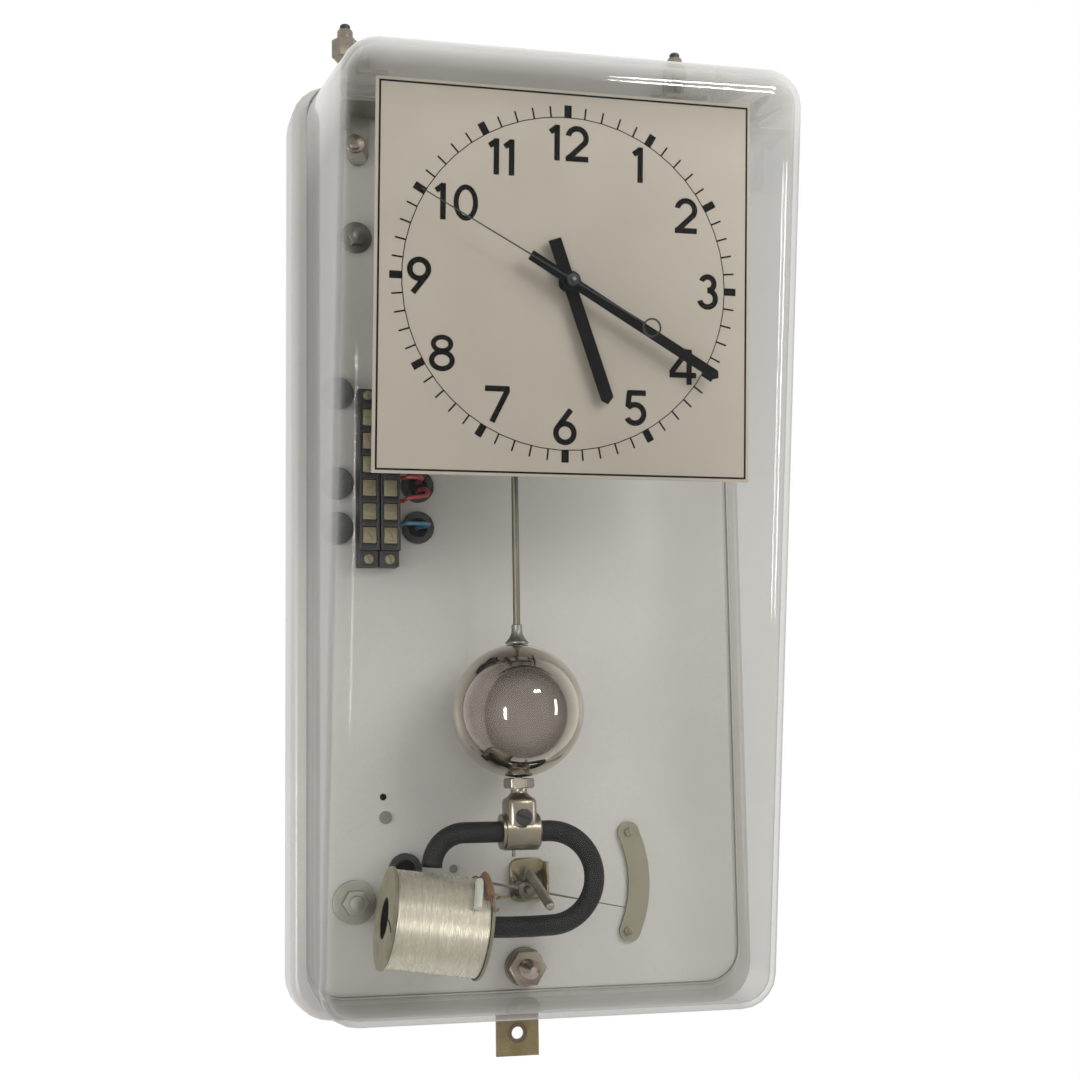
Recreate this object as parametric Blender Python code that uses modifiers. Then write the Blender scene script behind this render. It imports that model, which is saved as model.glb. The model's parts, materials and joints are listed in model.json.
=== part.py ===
"""Electric master clock with a free-swinging magnet pendulum, built as separate pieces.

The frame is +X right, +Y into the wall and +Z up. The origin is on the tray's flat
back, level with the middle of the cover. The dial and the movement lean forward at the top and share one tilted frame,
whose local axes are X right, Y up the dial and Z out towards the reader.
"""
import math

import bmesh
import bpy
from mathutils import Vector

MM = 0.001
FRONT = math.pi / 2
TURN = 2 * math.pi

# Clearances and shared finish sizes
seat_gap = 0.3 * MM
running_gap = 0.1 * MM
overrun = 4 * MM

# Tray
tray_width = 258 * MM
tray_height = 512 * MM
tray_depth = 30 * MM
tray_wall = 1.6 * MM
tray_corner = 22 * MM
tray_edge = 4 * MM

# Clear cover
cover_side_margin = 8 * MM
cover_top_margin = 1.8 * MM
cover_bottom_margin = 8.2 * MM
cover_corner = 19 * MM
cover_wall = 3 * MM
cover_top_fall = 23 * MM
cover_bottom_drop = 7 * MM
cover_reader_space = 15.9 * MM
cover_bottom_rake = 5 * MM
cover_edge = 15 * MM
cover_seat = 0.9 * MM

# Cover screws and their brackets
screw_left_x = 100.5 * MM
screw_right_x = 93.4 * MM
screw_forward = 38 * MM
screw_radius = 2.5 * MM
screw_hex_flats = 12.8 * MM
screw_hex_height = 25 * MM
screw_collar_radius = 4.4 * MM
screw_collar_height = 5.6 * MM
screw_tip_radius = 2.5 * MM
screw_tip_height = 3.3 * MM
screw_reach = 26 * MM
bracket_x = 92.6 * MM
bracket_width = 12.2 * MM
bracket_flange_width = 27 * MM
bracket_flange_depth = 28 * MM
bracket_top = 236.6 * MM
bracket_height = 29.6 * MM
bracket_metal = 2 * MM

# Wall tab and its bolt
tab_width = 24 * MM
tab_metal = 2 * MM
tab_top = 218 * MM
tab_bottom = 285.9 * MM
tab_hole_z = 273.5 * MM
tab_hole_radius = 3.4 * MM
tab_x = 0.5 * MM
tab_bolt_x = 3 * MM
tab_bolt_z = 235 * MM
tab_bolt_radius = 5 * MM
tab_bolt_stand = 22 * MM
tab_nut_flats = 18.5 * MM
tab_nut_height = 9 * MM
tab_washer_radius = 10.7 * MM
tab_washer_metal = 1.5 * MM

# Nuts on the panel
upper_nut_x = 93.5 * MM
upper_nut_z = 165.5 * MM
lower_nut_x = 95.4 * MM
lower_nut_z = 197.9 * MM
upper_nut_flats = 9.7 * MM
lower_nut_flats = 12.6 * MM
upper_washer_radius = 8.8 * MM
lower_washer_radius = 11.7 * MM
washer_metal = 1.6 * MM
upper_nut_height = 5 * MM
lower_nut_height = 6.5 * MM
upper_stud_radius = 3 * MM
lower_stud_radius = 4 * MM
stud_stand = 3 * MM

# Panel holes, grommets and bushes
panel_hole_radius = 8.3 * MM
grommet_flange_radius = 9 * MM
grommet_flange = 1.8 * MM
grommet_well_radius = 5.8 * MM
bush_bore_radius = 5.5 * MM
grommet_x = 104.1 * MM
grommet_heights = (77 * MM, 27 * MM, 2.4 * MM)
bush_x = 59.8 * MM
bush_heights = (26.3 * MM, 3.5 * MM)
lead_bush_x = 67.9 * MM
lead_bush_z = 181.6 * MM
hanger_z = 196 * MM
hanger_head_radius = 6 * MM
hanger_slot_radius = 3 * MM
hanger_slot_length = 12 * MM

# Terminal strips
strip_width = 10.7 * MM
strip_length = 97.3 * MM
strip_height = 15.6 * MM
strip_top = 78.1 * MM
strip_left_x = 88.8 * MM
strip_right_x = 77.3 * MM
strip_cells = 7
strip_pitch = 12.64 * MM
strip_cell_width = 7.3 * MM
strip_cell_height = 9.2 * MM
strip_cell_depth = 5 * MM

# Wires
wire_radius = 1.1 * MM
wire_stand = 12 * MM
wire_bow = 4 * MM
wire_loop = 3 * MM
wire_tail = 5 * MM
wire_offset = 2.4 * MM
wire_rise_share = 0.4
wire_fall_share = 0.15
wire_bend_share = 0.8
lead_radius = 0.8 * MM
lead_back = 6 * MM
lead_up = 18 * MM
lead_drop = 4 * MM

# Dial
dial_side = 200 * MM
dial_metal = 2 * MM
dial_tilt = math.radians(5.5)
dial_z = 118.4 * MM
dial_forward = 129 * MM
dial_hole_radius = 4.4 * MM

# Movement plates and pillars, measured back from the dial's front face
plate_width = 116 * MM
plate_height = 92 * MM
plate_metal = 2 * MM
plate_corner = 8 * MM
front_plate_back = 20 * MM
back_plate_back = 40 * MM
pillar_x = 50 * MM
pillar_y = 38 * MM
pillar_radius = 4 * MM
pillar_spacer_radius = 3 * MM
pillar_tip_radius = 2.2 * MM

# Train, measured back from the dial's front face
arbor_radius = 0.9 * MM
arbor_back = 48 * MM
arbor_front = 14.5 * MM
ratchet_teeth = 60
ratchet_radius = 21 * MM
ratchet_tooth_depth = 1.5 * MM
ratchet_back = 46 * MM
wheel_metal = 1.4 * MM
train_distance = 18 * MM
train_angle = math.radians(-45)
seconds_pinion_teeth = 8
intermediate_teeth = 64
intermediate_back = 34 * MM
intermediate_pinion_teeth = 8
minute_wheel_teeth = 60
minute_wheel_back = 27 * MM
pinion_length = 5 * MM
pipe_wall = 0.8 * MM
minute_pipe_front = 10.5 * MM
hour_pipe_front = 6 * MM
motion_distance = 15 * MM
motion_angle = math.radians(135)
cannon_teeth = 12
reduction_teeth = 36
reduction_pinion_teeth = 10
hour_wheel_teeth = 40
cannon_back = 15.5 * MM
cannon_length = 3.5 * MM
hour_wheel_back = 7 * MM
rim_width = 2.6 * MM
hub_radius = 4.2 * MM
spoke_width = 2.2 * MM
spokes = 4

# Hands
hand_metal = 1.1 * MM
hour_hand_length = 65.5 * MM
hour_hand_tail = 23 * MM
hour_hand_width = 6.6 * MM
hour_hand_front = 4 * MM
hour_hand_angle = math.radians(160.4)
minute_hand_length = 92.5 * MM
minute_hand_tail = 24.5 * MM
minute_hand_width = 5.2 * MM
minute_hand_front = 8 * MM
minute_hand_angle = math.radians(120)
hand_hub_radius = 5.2 * MM
seconds_hand_length = 89 * MM
seconds_hand_width = 0.9 * MM
seconds_hand_metal = 0.6 * MM
seconds_hand_front = 12 * MM
seconds_hand_angle = math.radians(298)
seconds_ring_distance = 48 * MM
seconds_ring_radius = 5 * MM
seconds_hub_radius = 3.2 * MM

# Pendulum
pendulum_x = 14 * MM
pendulum_forward = 69 * MM
pivot_z = 121.6 * MM
spring_length = 20 * MM
spring_width = 8 * MM
spring_metal = 0.3 * MM
spring_grip = 6 * MM
block_width = 12 * MM
block_depth = 10 * MM
block_height = 14 * MM
rod_radius = 1.9 * MM
ball_radius = 35.1 * MM
ball_z = 98.2 * MM
neck_length = 10.2 * MM
neck_top_radius = 2.8 * MM
neck_foot_radius = 6.2 * MM
nut_radius = 8.1 * MM
nut_height = 5.4 * MM
nut_travel = 1 * MM
bore_gap = 0.3 * MM
clamp_width = 23.4 * MM
clamp_depth = 18.5 * MM
clamp_top = 143.5 * MM
clamp_shoulder = 4.9 * MM
clamp_barrel_radius = 9.8 * MM
clamp_barrel_length = 20.5 * MM
clamp_neck_radius = 5.7 * MM
clamp_face_width = 15.6 * MM
clamp_screw_radius = 4.4 * MM
clamp_screw_z = 153.9 * MM
clamp_screw_head = 2.2 * MM
arm_reach = 43 * MM
arm_tail = 9 * MM
arm_height = 8 * MM
arm_metal = 2 * MM

# Magnet
magnet_radius = 5.5 * MM
magnet_upper_z = 161.4 * MM
magnet_bend = 24.4 * MM
magnet_bend_x = 2 * MM
magnet_pole_x = 61 * MM
magnet_pole_z = 178.8 * MM
magnet_pole_bend = 17.4 * MM
magnet_leg_span = math.radians(8.6)
magnet_bend_steps = 12
magnet_leg_steps = 6

# Coil
coil_swing = math.radians(8)
coil_length = 52.2 * MM
coil_flange_radius = 26.6 * MM
coil_flange = 1.8 * MM
coil_bore_radius = 10.7 * MM
coil_barrel_wall = 1.5 * MM
winding_wire = 3 * MM
winding_loops = 13
winding_steps = 24
winding_gap = 0.45 * MM
coil_rim = 0.6 * MM
saddle_height = 24 * MM
saddle_inset = 6 * MM

# Rate regulator and its scale
regulator_x = -4 * MM
regulator_z = 193.2 * MM
regulator_width = 19.5 * MM
regulator_height = 23.5 * MM
regulator_metal = 3 * MM
regulator_plate_right = 3.2 * MM
regulator_plate_rise = 4.5 * MM
regulator_stub_radius = 2 * MM
regulator_stub = 17 * MM
needle_hub_radius = 5 * MM
needle_hub_back = 11 * MM
needle_metal = 1.6 * MM
needle_length = 56.4 * MM
needle_tail = 19.4 * MM
needle_width = 1.4 * MM
needle_angle = math.radians(-11.5)
handle_lift = 8.8 * MM
handle_radius = 2.6 * MM
handle_drop = 15 * MM
handle_reach = 42.8 * MM
handle_tip_radius = 2.1 * MM
scale_radius = 49.2 * MM
scale_x = 16.3 * MM
scale_z = 191 * MM
scale_width = 10.5 * MM
scale_half_angle = math.radians(33)
scale_metal = 1.6 * MM

# Suspension bracket, clicks and contact
cock_width = 14 * MM
cock_height = 16 * MM
cock_nose = 7 * MM
cock_foot_width = 34 * MM
cock_foot_height = 44 * MM
cock_foot_metal = 4 * MM
cock_pin_radius = 1.5 * MM
cock_slot_width = 2.2 * MM
pawl_x = 26 * MM
pawl_y = -16 * MM
pawl_eye_radius = 2.4 * MM
pawl_pin_radius = 1 * MM
pawl_width = 1.6 * MM
click_x = -17 * MM
click_y = 30 * MM
pawl_contact_angle = 0
click_contact_angle = math.radians(96)
contact_x = 50 * MM
contact_width = 12 * MM
contact_height = 13 * MM
contact_gap = 1.2 * MM
blade_length = 21 * MM
blade_width = 5 * MM
blade_metal = 0.5 * MM


for old in list(bpy.data.objects):
    bpy.data.objects.remove(old, do_unlink=True)

parts = bpy.data.collections.new("electric_master_clock")
cutters = bpy.data.collections.new("cutters")
bpy.context.scene.collection.children.link(parts)
bpy.context.scene.collection.children.link(cutters)


def linear(channel):
    """One sRGB channel, 0 to 1, as linear light."""
    return channel / 12.92 if channel <= 0.04045 else ((channel + 0.055) / 1.055) ** 2.4


def finish(name, colour, roughness, metallic=0.0, alpha=1.0):
    """A Principled material from an sRGB hex colour."""
    material = bpy.data.materials.new(name)
    material.use_nodes = True
    shader = material.node_tree.nodes["Principled BSDF"]
    channels = [int(colour[i:i + 2], 16) / 255 for i in (0, 2, 4)]
    shader.inputs["Base Color"].default_value = [linear(c) for c in channels] + [1.0]
    shader.inputs["Roughness"].default_value = roughness
    shader.inputs["Metallic"].default_value = metallic
    shader.inputs["Alpha"].default_value = alpha
    return material


def add(name, mesh, look, where=(0, 0, 0), turn=(0, 0, 0), parent=None):
    """A part object with its material, placed in the world or under its parent."""
    piece = bpy.data.objects.new(name, mesh)
    piece.location = where
    piece.rotation_euler = turn
    piece.parent = parent
    mesh.materials.append(finish(name, *look))
    parts.objects.link(piece)
    return piece


def soften(mesh, angle=math.radians(35)):
    """Smooth shading that stays sharp at real edges."""
    mesh.shade_smooth()
    mesh.set_sharp_from_angle(angle=angle)


def bm_mesh(name, shape):
    """A mesh from a bmesh, with its faces pointing out."""
    bmesh.ops.recalc_face_normals(shape, faces=shape.faces)
    mesh = bpy.data.meshes.new(name)
    shape.to_mesh(mesh)
    shape.free()
    return mesh


def block_mesh(name, size, centre=(0, 0, 0)):
    """A box of the given size about a local centre."""
    shape = bmesh.new()
    bmesh.ops.create_cube(shape, size=1)
    bmesh.ops.scale(shape, vec=size, verts=shape.verts)
    bmesh.ops.translate(shape, vec=centre, verts=shape.verts)
    return bm_mesh(name, shape)


def rod_mesh(name, radius, low, high, segments=24, tip=None):
    """A round or many-sided bar along local Z from low to high."""
    shape = bmesh.new()
    bmesh.ops.create_cone(
        shape, cap_ends=True, segments=segments, radius1=radius,
        radius2=radius if tip is None else tip, depth=high - low)
    bmesh.ops.translate(shape, vec=(0, 0, (low + high) / 2), verts=shape.verts)
    mesh = bm_mesh(name, shape)
    soften(mesh)
    return mesh


def hex_radius(flats):
    """Corner radius of a hexagon from its width across flats."""
    return flats / 2 / math.cos(math.pi / 6)


def turned(name, profile, look, where=(0, 0, 0), turn=(0, 0, 0), parent=None, steps=24, ring=False):
    """A turned piece from (radius, height) points that run down its outer side."""
    mesh = bpy.data.meshes.new(name)
    points = [(radius, 0, height) for radius, height in profile]
    edges = [(i, i + 1) for i in range(len(points) - 1)]
    if ring:
        edges.append((len(points) - 1, 0))
    mesh.from_pydata(points, edges, [])
    piece = add(name, mesh, look, where, turn, parent)
    screw = piece.modifiers.new("turn", "SCREW")
    screw.steps = steps
    screw.render_steps = steps
    screw.use_merge_vertices = True
    screw.merge_threshold = MM / 100
    screw.use_smooth_shade = True
    return piece


def baked(piece):
    """The piece with its modifiers applied, as a welded mesh in the same place."""
    bpy.context.view_layer.update()
    graph = bpy.context.evaluated_depsgraph_get()
    mesh = bpy.data.meshes.new_from_object(piece.evaluated_get(graph))
    shape = bmesh.new()
    shape.from_mesh(mesh)
    bmesh.ops.remove_doubles(shape, verts=shape.verts, dist=MM / 1000)
    shape.to_mesh(mesh)
    shape.free()
    soften(mesh)
    return mesh


def curve_solid(name, loops, thickness, look, where=(0, 0, 0), turn=(0, 0, 0), parent=None, low=0.0):
    """A flat plate from closed outlines, its holes inside its rim, from low upwards."""
    curve = bpy.data.curves.new(name, "CURVE")
    curve.dimensions = "2D"
    curve.fill_mode = "BOTH"
    curve.extrude = thickness / 2
    for loop in loops:
        spline = curve.splines.new("POLY")
        spline.points.add(len(loop) - 1)
        for point, (x, y) in zip(spline.points, loop):
            point.co = (x, y, 0, 1)
        spline.use_cyclic_u = True
    guide = bpy.data.objects.new(name + "_outline", curve)
    cutters.objects.link(guide)
    mesh = baked(guide)
    bpy.data.objects.remove(guide, do_unlink=True)
    shape = bmesh.new()
    shape.from_mesh(mesh)
    bmesh.ops.translate(shape, vec=(0, 0, low + thickness / 2), verts=shape.verts)
    bmesh.ops.recalc_face_normals(shape, faces=shape.faces)
    shape.to_mesh(mesh)
    shape.free()
    mesh.materials.clear()
    return add(name, mesh, look, where, turn, parent)


def tube(name, points, radius, look, resolution=2, parent=None):
    """A round bar or wire along points, with closed ends."""
    curve = bpy.data.curves.new(name, "CURVE")
    curve.dimensions = "3D"
    curve.bevel_depth = radius
    curve.bevel_resolution = resolution
    curve.use_fill_caps = True
    spline = curve.splines.new("POLY")
    spline.points.add(len(points) - 1)
    for point, place in zip(spline.points, points):
        point.co = (*place, 1)
    spline.use_smooth = True
    guide = bpy.data.objects.new(name + "_route", curve)
    cutters.objects.link(guide)
    mesh = baked(guide)
    bpy.data.objects.remove(guide, do_unlink=True)
    mesh.materials.clear()
    return add(name, mesh, look, parent=parent)


def combine(piece, mesh, operation="DIFFERENCE", where=None, turn=None):
    """Cut a mesh from a piece, or join it on, in the piece's own frame unless placed."""
    bpy.context.view_layer.update()
    tool = bpy.data.objects.new(piece.name + "_" + operation.lower(), mesh)
    cutters.objects.link(tool)
    tool.hide_render = True
    tool.display_type = "WIRE"
    if where is None:
        tool.matrix_world = piece.matrix_world
    else:
        tool.location = where
        tool.rotation_euler = turn or (0, 0, 0)
    change = piece.modifiers.new(operation.lower(), "BOOLEAN")
    change.operation = operation
    change.object = tool
    change.solver = "EXACT"
    return piece


def circle(radius, steps=24, x=0.0, y=0.0):
    """Points round a circle."""
    return [(x + radius * math.cos(TURN * i / steps), y + radius * math.sin(TURN * i / steps))
            for i in range(steps)]


def rounded_rectangle(width, height, corner, steps=6):
    """Points round a rectangle with round corners."""
    points = []
    for quarter, (side, rise) in enumerate(((1, 1), (-1, 1), (-1, -1), (1, -1))):
        for i in range(steps + 1):
            angle = FRONT * (quarter + i / steps)
            points.append((side * (width / 2 - corner) + corner * math.cos(angle),
                           rise * (height / 2 - corner) + corner * math.sin(angle)))
    return points


def bevel_edges(shape, edges, width, segments):
    """Round the given edges of a bmesh."""
    bmesh.ops.bevel(shape, geom=edges, offset=width, segments=segments, profile=0.5,
                    affect="EDGES", clamp_overlap=True, material=-1)


def pan_mesh(name, width, height, corner, near, far, edge, round_near, round_far):
    """A slab with round corners between two depths, with chosen rims rounded."""
    shape = bmesh.new()
    rim = [shape.verts.new((x, -near, z)) for x, z in rounded_rectangle(width, height, corner)]
    face = shape.faces.new(rim)
    grown = bmesh.ops.extrude_face_region(shape, geom=[face])
    moved = [g for g in grown["geom"] if isinstance(g, bmesh.types.BMVert)]
    bmesh.ops.translate(shape, vec=(0, near - far, 0), verts=moved)
    bmesh.ops.recalc_face_normals(shape, faces=shape.faces)
    middle = -(near + far) / 2
    wanted = []
    for line in shape.edges:
        y = (line.verts[0].co.y, line.verts[1].co.y)
        if round_near and min(y) > middle:
            wanted.append(line)
        if round_far and max(y) < middle:
            wanted.append(line)
    if wanted:
        bevel_edges(shape, wanted, edge, 3)
    return bm_mesh(name, shape)


# Looks, read from the photograph
WHITE_ENAMEL = ("D4D5D3", 0.35)
CLEAR_ACRYLIC = ("EEF2F2", 0.05, 0.0, 0.15)
DIAL_CREAM = ("D9D0C2", 0.45)
HAND_BLACK = ("23272C", 0.45)
NICKEL = ("B8B2A6", 0.25, 1.0)
POLISHED = ("C9C4BE", 0.06, 1.0)
STEEL = ("8F8E8A", 0.35, 1.0)
BRASS = ("B59A5E", 0.3, 1.0)
DULL_BRASS = ("9C8C66", 0.45, 1.0)
BLACK_PLASTIC = ("1D1D1E", 0.4)
RUBBER = ("4A4D50", 0.75)
MAGNET_BLACK = ("2B2C2C", 0.6)
PAXOLIN = ("8E8A78", 0.5)
WINDING = ("C3C2AF", 0.3, 0.6)
WIRE_RED = ("B4323C", 0.5)
WIRE_BLUE = ("2D7FA8", 0.5)
PALE_LEAD = ("B9A98C", 0.5)
IVORY = ("BDB8A4", 0.5)

# Derived places
panel_seat = -(tray_depth + seat_gap)
panel_back = tray_wall - tray_depth
tab_seat = -(tray_wall + seat_gap)
tray_drop = (cover_bottom_margin - cover_top_margin) / 2
cover_width = tray_width - 2 * cover_side_margin
cover_height = tray_height - cover_top_margin - cover_bottom_margin
cover_front_top = cover_height / 2 - cover_top_fall
cover_front_bottom = cover_height / 2 + cover_bottom_drop
dial_lean = dial_side / 2 * math.sin(dial_tilt)
cover_depth_top = dial_forward + dial_lean + arbor_front + cover_reader_space + cover_wall
cover_depth_bottom = pendulum_forward + coil_flange_radius + cover_wall - cover_bottom_rake


def on_panel(x, z):
    """A place on the panel's front face, with the seat gap."""
    return (x, panel_seat, z)


def build_tray():
    """White hollow pan: its front is the panel that carries the works, its back meets the wall."""
    body = pan_mesh("tray", tray_width, tray_height, tray_corner, 0, tray_depth, tray_edge, True, True)
    soften(body)
    tray = add("rear_tray", body, WHITE_ENAMEL, (0, 0, -tray_drop))
    inside = pan_mesh("tray_cavity", tray_width - 2 * tray_wall, tray_height - 2 * tray_wall,
                      tray_corner - tray_wall, tray_wall, tray_depth - tray_wall,
                      tray_edge - tray_wall, True, True)
    combine(tray, inside)
    drilled = [(-grommet_x, z, panel_hole_radius) for z in grommet_heights]
    drilled += [(-bush_x, z, panel_hole_radius) for z in bush_heights]
    drilled.append((-lead_bush_x, -lead_bush_z, panel_hole_radius))
    drilled.append((-tab_bolt_x, -tab_bolt_z, tab_bolt_radius + seat_gap))
    for x, z, radius in drilled:
        hole = rod_mesh("panel_hole", radius, -overrun, tray_wall + overrun, 20)
        combine(tray, hole, where=(x, panel_back, z), turn=(FRONT, 0, 0))
    keyhole = rod_mesh("hanger_head", hanger_head_radius, -overrun, tray_wall + overrun, 20)
    combine(tray, keyhole, where=(0, 0, hanger_z), turn=(FRONT, 0, 0))
    slot = block_mesh("hanger_slot", (2 * hanger_slot_radius, 2 * overrun, hanger_slot_length),
                      (0, 0, hanger_slot_length / 2))
    combine(tray, slot, where=(0, 0, hanger_z), turn=(0, 0, 0))
    gap = block_mesh("tab_slot", (tab_width + 2 * seat_gap, tab_metal + 2 * seat_gap, 2 * tray_edge))
    combine(tray, gap, where=(-tab_x, tab_seat - tab_metal / 2, -tray_height / 2 - tray_drop), turn=(0, 0, 0))
    return tray


def cover_rim(share):
    """Centre height and half height of the cover at a share of its depth, rear to front."""
    top = cover_height / 2 + (cover_front_top - cover_height / 2) * share
    bottom = cover_height / 2 + (cover_front_bottom - cover_height / 2) * share
    return (top - bottom) / 2, (top + bottom) / 2


def build_cover():
    """One-piece moulded cover, deeper at the top, open at the back, with two screw notches."""
    shape = bmesh.new()
    outline = rounded_rectangle(cover_width, cover_height, cover_corner, 5)
    rear = [shape.verts.new((x, -tray_depth - cover_seat, z)) for x, z in outline]
    centre, half = cover_rim(1.0)
    slope = (cover_depth_top - cover_depth_bottom) / (2 * half)
    front = []
    for x, z in outline:
        height = centre + z * half / (cover_height / 2)
        depth = cover_depth_bottom + slope * (height - (centre - half))
        front.append(shape.verts.new((x, -depth, height)))
    count = len(outline)
    for i in range(count):
        shape.faces.new((rear[i], rear[(i + 1) % count], front[(i + 1) % count], front[i]))
    face = shape.faces.new(front)
    bmesh.ops.recalc_face_normals(shape, faces=shape.faces)
    bevel_edges(shape, list(face.edges), cover_edge, 5)
    mesh = bm_mesh("clear_cover", shape)
    soften(mesh)
    cover = add("clear_cover", mesh, CLEAR_ACRYLIC)
    outward = max(mesh.polygons, key=lambda polygon: polygon.area).normal.y < 0
    wall = cover.modifiers.new("wall", "SOLIDIFY")
    wall.thickness = cover_wall
    wall.offset = -1 if outward else 1
    wall.use_even_offset = True
    for x in (-screw_left_x, screw_right_x):
        reach = screw_forward + screw_radius + seat_gap
        notch = block_mesh("notch", (2 * (screw_radius + seat_gap), reach, 2 * overrun + 4 * cover_wall),
                           (0, -reach / 2, 0))
        combine(cover, notch, where=(x, 0, cover_height / 2), turn=(0, 0, 0))
    return cover


def build_cover_screws():
    """Hexagon-bodied clamp screws on the cover's top, and the brackets inside that they screw into."""
    for side, word, x in ((-1, "left", -screw_left_x), (1, "right", screw_right_x)):
        base = cover_height / 2 + seat_gap
        hexagon = rod_mesh("hexagon", hex_radius(screw_hex_flats), 0, screw_hex_height, 6)
        screw = add("cover_screw_" + word, hexagon, NICKEL, (x, -screw_forward, base))
        collar_top = screw_hex_height + screw_collar_height
        combine(screw, rod_mesh("collar", screw_collar_radius, screw_hex_height - tray_wall, collar_top, 16),
                "UNION")
        combine(screw, rod_mesh("tip", screw_tip_radius, collar_top - tray_wall,
                                collar_top + screw_tip_height, 12), "UNION")
        combine(screw, rod_mesh("stem", screw_radius, -screw_reach, tray_wall, 16), "UNION")
        strap = block_mesh("strap", (bracket_width, bracket_metal, bracket_height),
                           (0, -bracket_metal / 2, bracket_top - bracket_height / 2))
        bracket = add("top_bracket_" + word, strap, STEEL, (side * bracket_x, panel_seat, 0))
        flange = block_mesh("flange", (bracket_flange_width, bracket_flange_depth, bracket_metal),
                            (0, -bracket_flange_depth / 2, bracket_top - bracket_metal / 2))
        combine(bracket, flange, "UNION")
        hole = rod_mesh("tapped_hole", screw_radius + seat_gap, -overrun, overrun, 16)
        combine(bracket, hole, where=(x, -screw_forward, bracket_top), turn=(0, 0, 0))


def build_tab():
    """Fixing tab that leaves the tray through its bottom wall, with its long bolt and nut."""
    length = tab_bottom - tab_top
    strip = block_mesh("strip", (tab_width, tab_metal, length), (0, -tab_metal / 2, -tab_top - length / 2))
    tab = add("wall_tab", strip, DULL_BRASS, (-tab_x, tab_seat, 0))
    for x, z, radius in ((-tab_x, tab_hole_z, tab_hole_radius), (-tab_bolt_x, tab_bolt_z, tab_bolt_radius + seat_gap)):
        hole = rod_mesh("tab_hole", radius, -overrun, overrun, 20)
        combine(tab, hole, where=(x, 0, -z), turn=(FRONT, 0, 0))
    nut_seat = -panel_seat
    length = tray_depth + tab_bolt_stand
    place = (-tab_bolt_x, 0, -tab_bolt_z)
    turned("tab_bolt", [(0, length), (tab_bolt_radius * 0.8, length),
                        (tab_bolt_radius, length - tab_bolt_radius / 4),
                        (tab_bolt_radius, -tab_seat), (0, -tab_seat)],
           NICKEL, place, (FRONT, 0, 0), steps=20)
    washer = rod_mesh("washer", tab_washer_radius, nut_seat, nut_seat + tab_washer_metal, 24)
    nut = add("tab_nut", washer, NICKEL, place, (FRONT, 0, 0))
    nut_back = nut_seat + tab_washer_metal / 2
    combine(nut, rod_mesh("hexagon", hex_radius(tab_nut_flats), nut_back, nut_seat + tab_nut_height, 6), "UNION")
    combine(nut, rod_mesh("bore", tab_bolt_radius + bore_gap, 0, nut_seat + tab_nut_height + overrun, 20))


def build_panel_nuts():
    """Washer, nut and stud end of the two fixings at the panel's left side."""
    rows = (("upper_panel_nut", upper_nut_x, upper_nut_z, upper_washer_radius, upper_nut_flats,
             upper_nut_height, upper_stud_radius),
            ("lower_panel_nut", lower_nut_x, -lower_nut_z, lower_washer_radius, lower_nut_flats,
             lower_nut_height, lower_stud_radius))
    for name, x, z, washer, flats, height, stud in rows:
        disc = rod_mesh("washer", washer, 0, washer_metal, 24)
        nut = add(name, disc, STEEL, on_panel(-x, z), (FRONT, 0, 0))
        combine(nut, rod_mesh("hexagon", hex_radius(flats), washer_metal / 2, washer_metal + height, 6), "UNION")
        combine(nut, rod_mesh("stud", stud, height / 2, washer_metal + height + stud_stand, 16), "UNION")


def build_grommets():
    """Blind grommets down the left side and open bushes for the wires."""
    neck = panel_hole_radius - seat_gap
    for number, z in enumerate(grommet_heights, 1):
        blind = [(0, grommet_flange / 3), (grommet_well_radius, grommet_flange / 3),
                 (grommet_well_radius, grommet_flange), (grommet_flange_radius, grommet_flange),
                 (grommet_flange_radius, 0), (neck, 0), (neck, -tray_wall), (0, -tray_wall)]
        turned("cable_grommet_%d" % number, blind, RUBBER, on_panel(-grommet_x, z), (FRONT, 0, 0), steps=20)
    bushes = [("wire_bush_upper", -bush_x, bush_heights[0]), ("wire_bush_lower", -bush_x, bush_heights[1]),
              ("lead_bush", -lead_bush_x, -lead_bush_z)]
    for name, x, z in bushes:
        ring = [(bush_bore_radius, grommet_flange), (grommet_flange_radius, grommet_flange),
                (grommet_flange_radius, 0), (neck, 0), (neck, -tray_wall), (bush_bore_radius, -tray_wall)]
        turned(name, ring, RUBBER, on_panel(x, z), (FRONT, 0, 0), steps=20, ring=True)


def build_strips():
    """Two black terminal strips with a row of cells and a gap between them."""
    for name, x in (("terminal_strip_left", -strip_left_x), ("terminal_strip_right", -strip_right_x)):
        bar = block_mesh("bar", (strip_width, strip_height, strip_length), (0, -strip_height / 2, -strip_length / 2))
        strip = add(name, bar, BLACK_PLASTIC, on_panel(x, strip_top))
        first = (strip_length - (strip_cells - 1) * strip_pitch) / 2
        for cell in range(strip_cells):
            pocket = block_mesh("cell", (strip_cell_width, 2 * strip_cell_depth, strip_cell_height),
                                (0, -strip_height, -first - cell * strip_pitch))
            combine(strip, pocket)


def smooth_route(points, steps=3):
    """A rounded route through chosen points, by a Catmull-Rom curve."""
    vectors = [Vector(p) for p in points]
    padded = [2 * vectors[0] - vectors[1]] + vectors + [2 * vectors[-1] - vectors[-2]]
    route = []
    for a, b, c, d in zip(padded, padded[1:], padded[2:], padded[3:]):
        for i in range(steps):
            t = i / steps
            route.append(0.5 * (2 * b + (c - a) * t + (2 * a - 5 * b + 4 * c - d) * t * t
                                + (3 * b - a - 3 * c + d) * t ** 3))
    route.append(vectors[-1])
    return route


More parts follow.
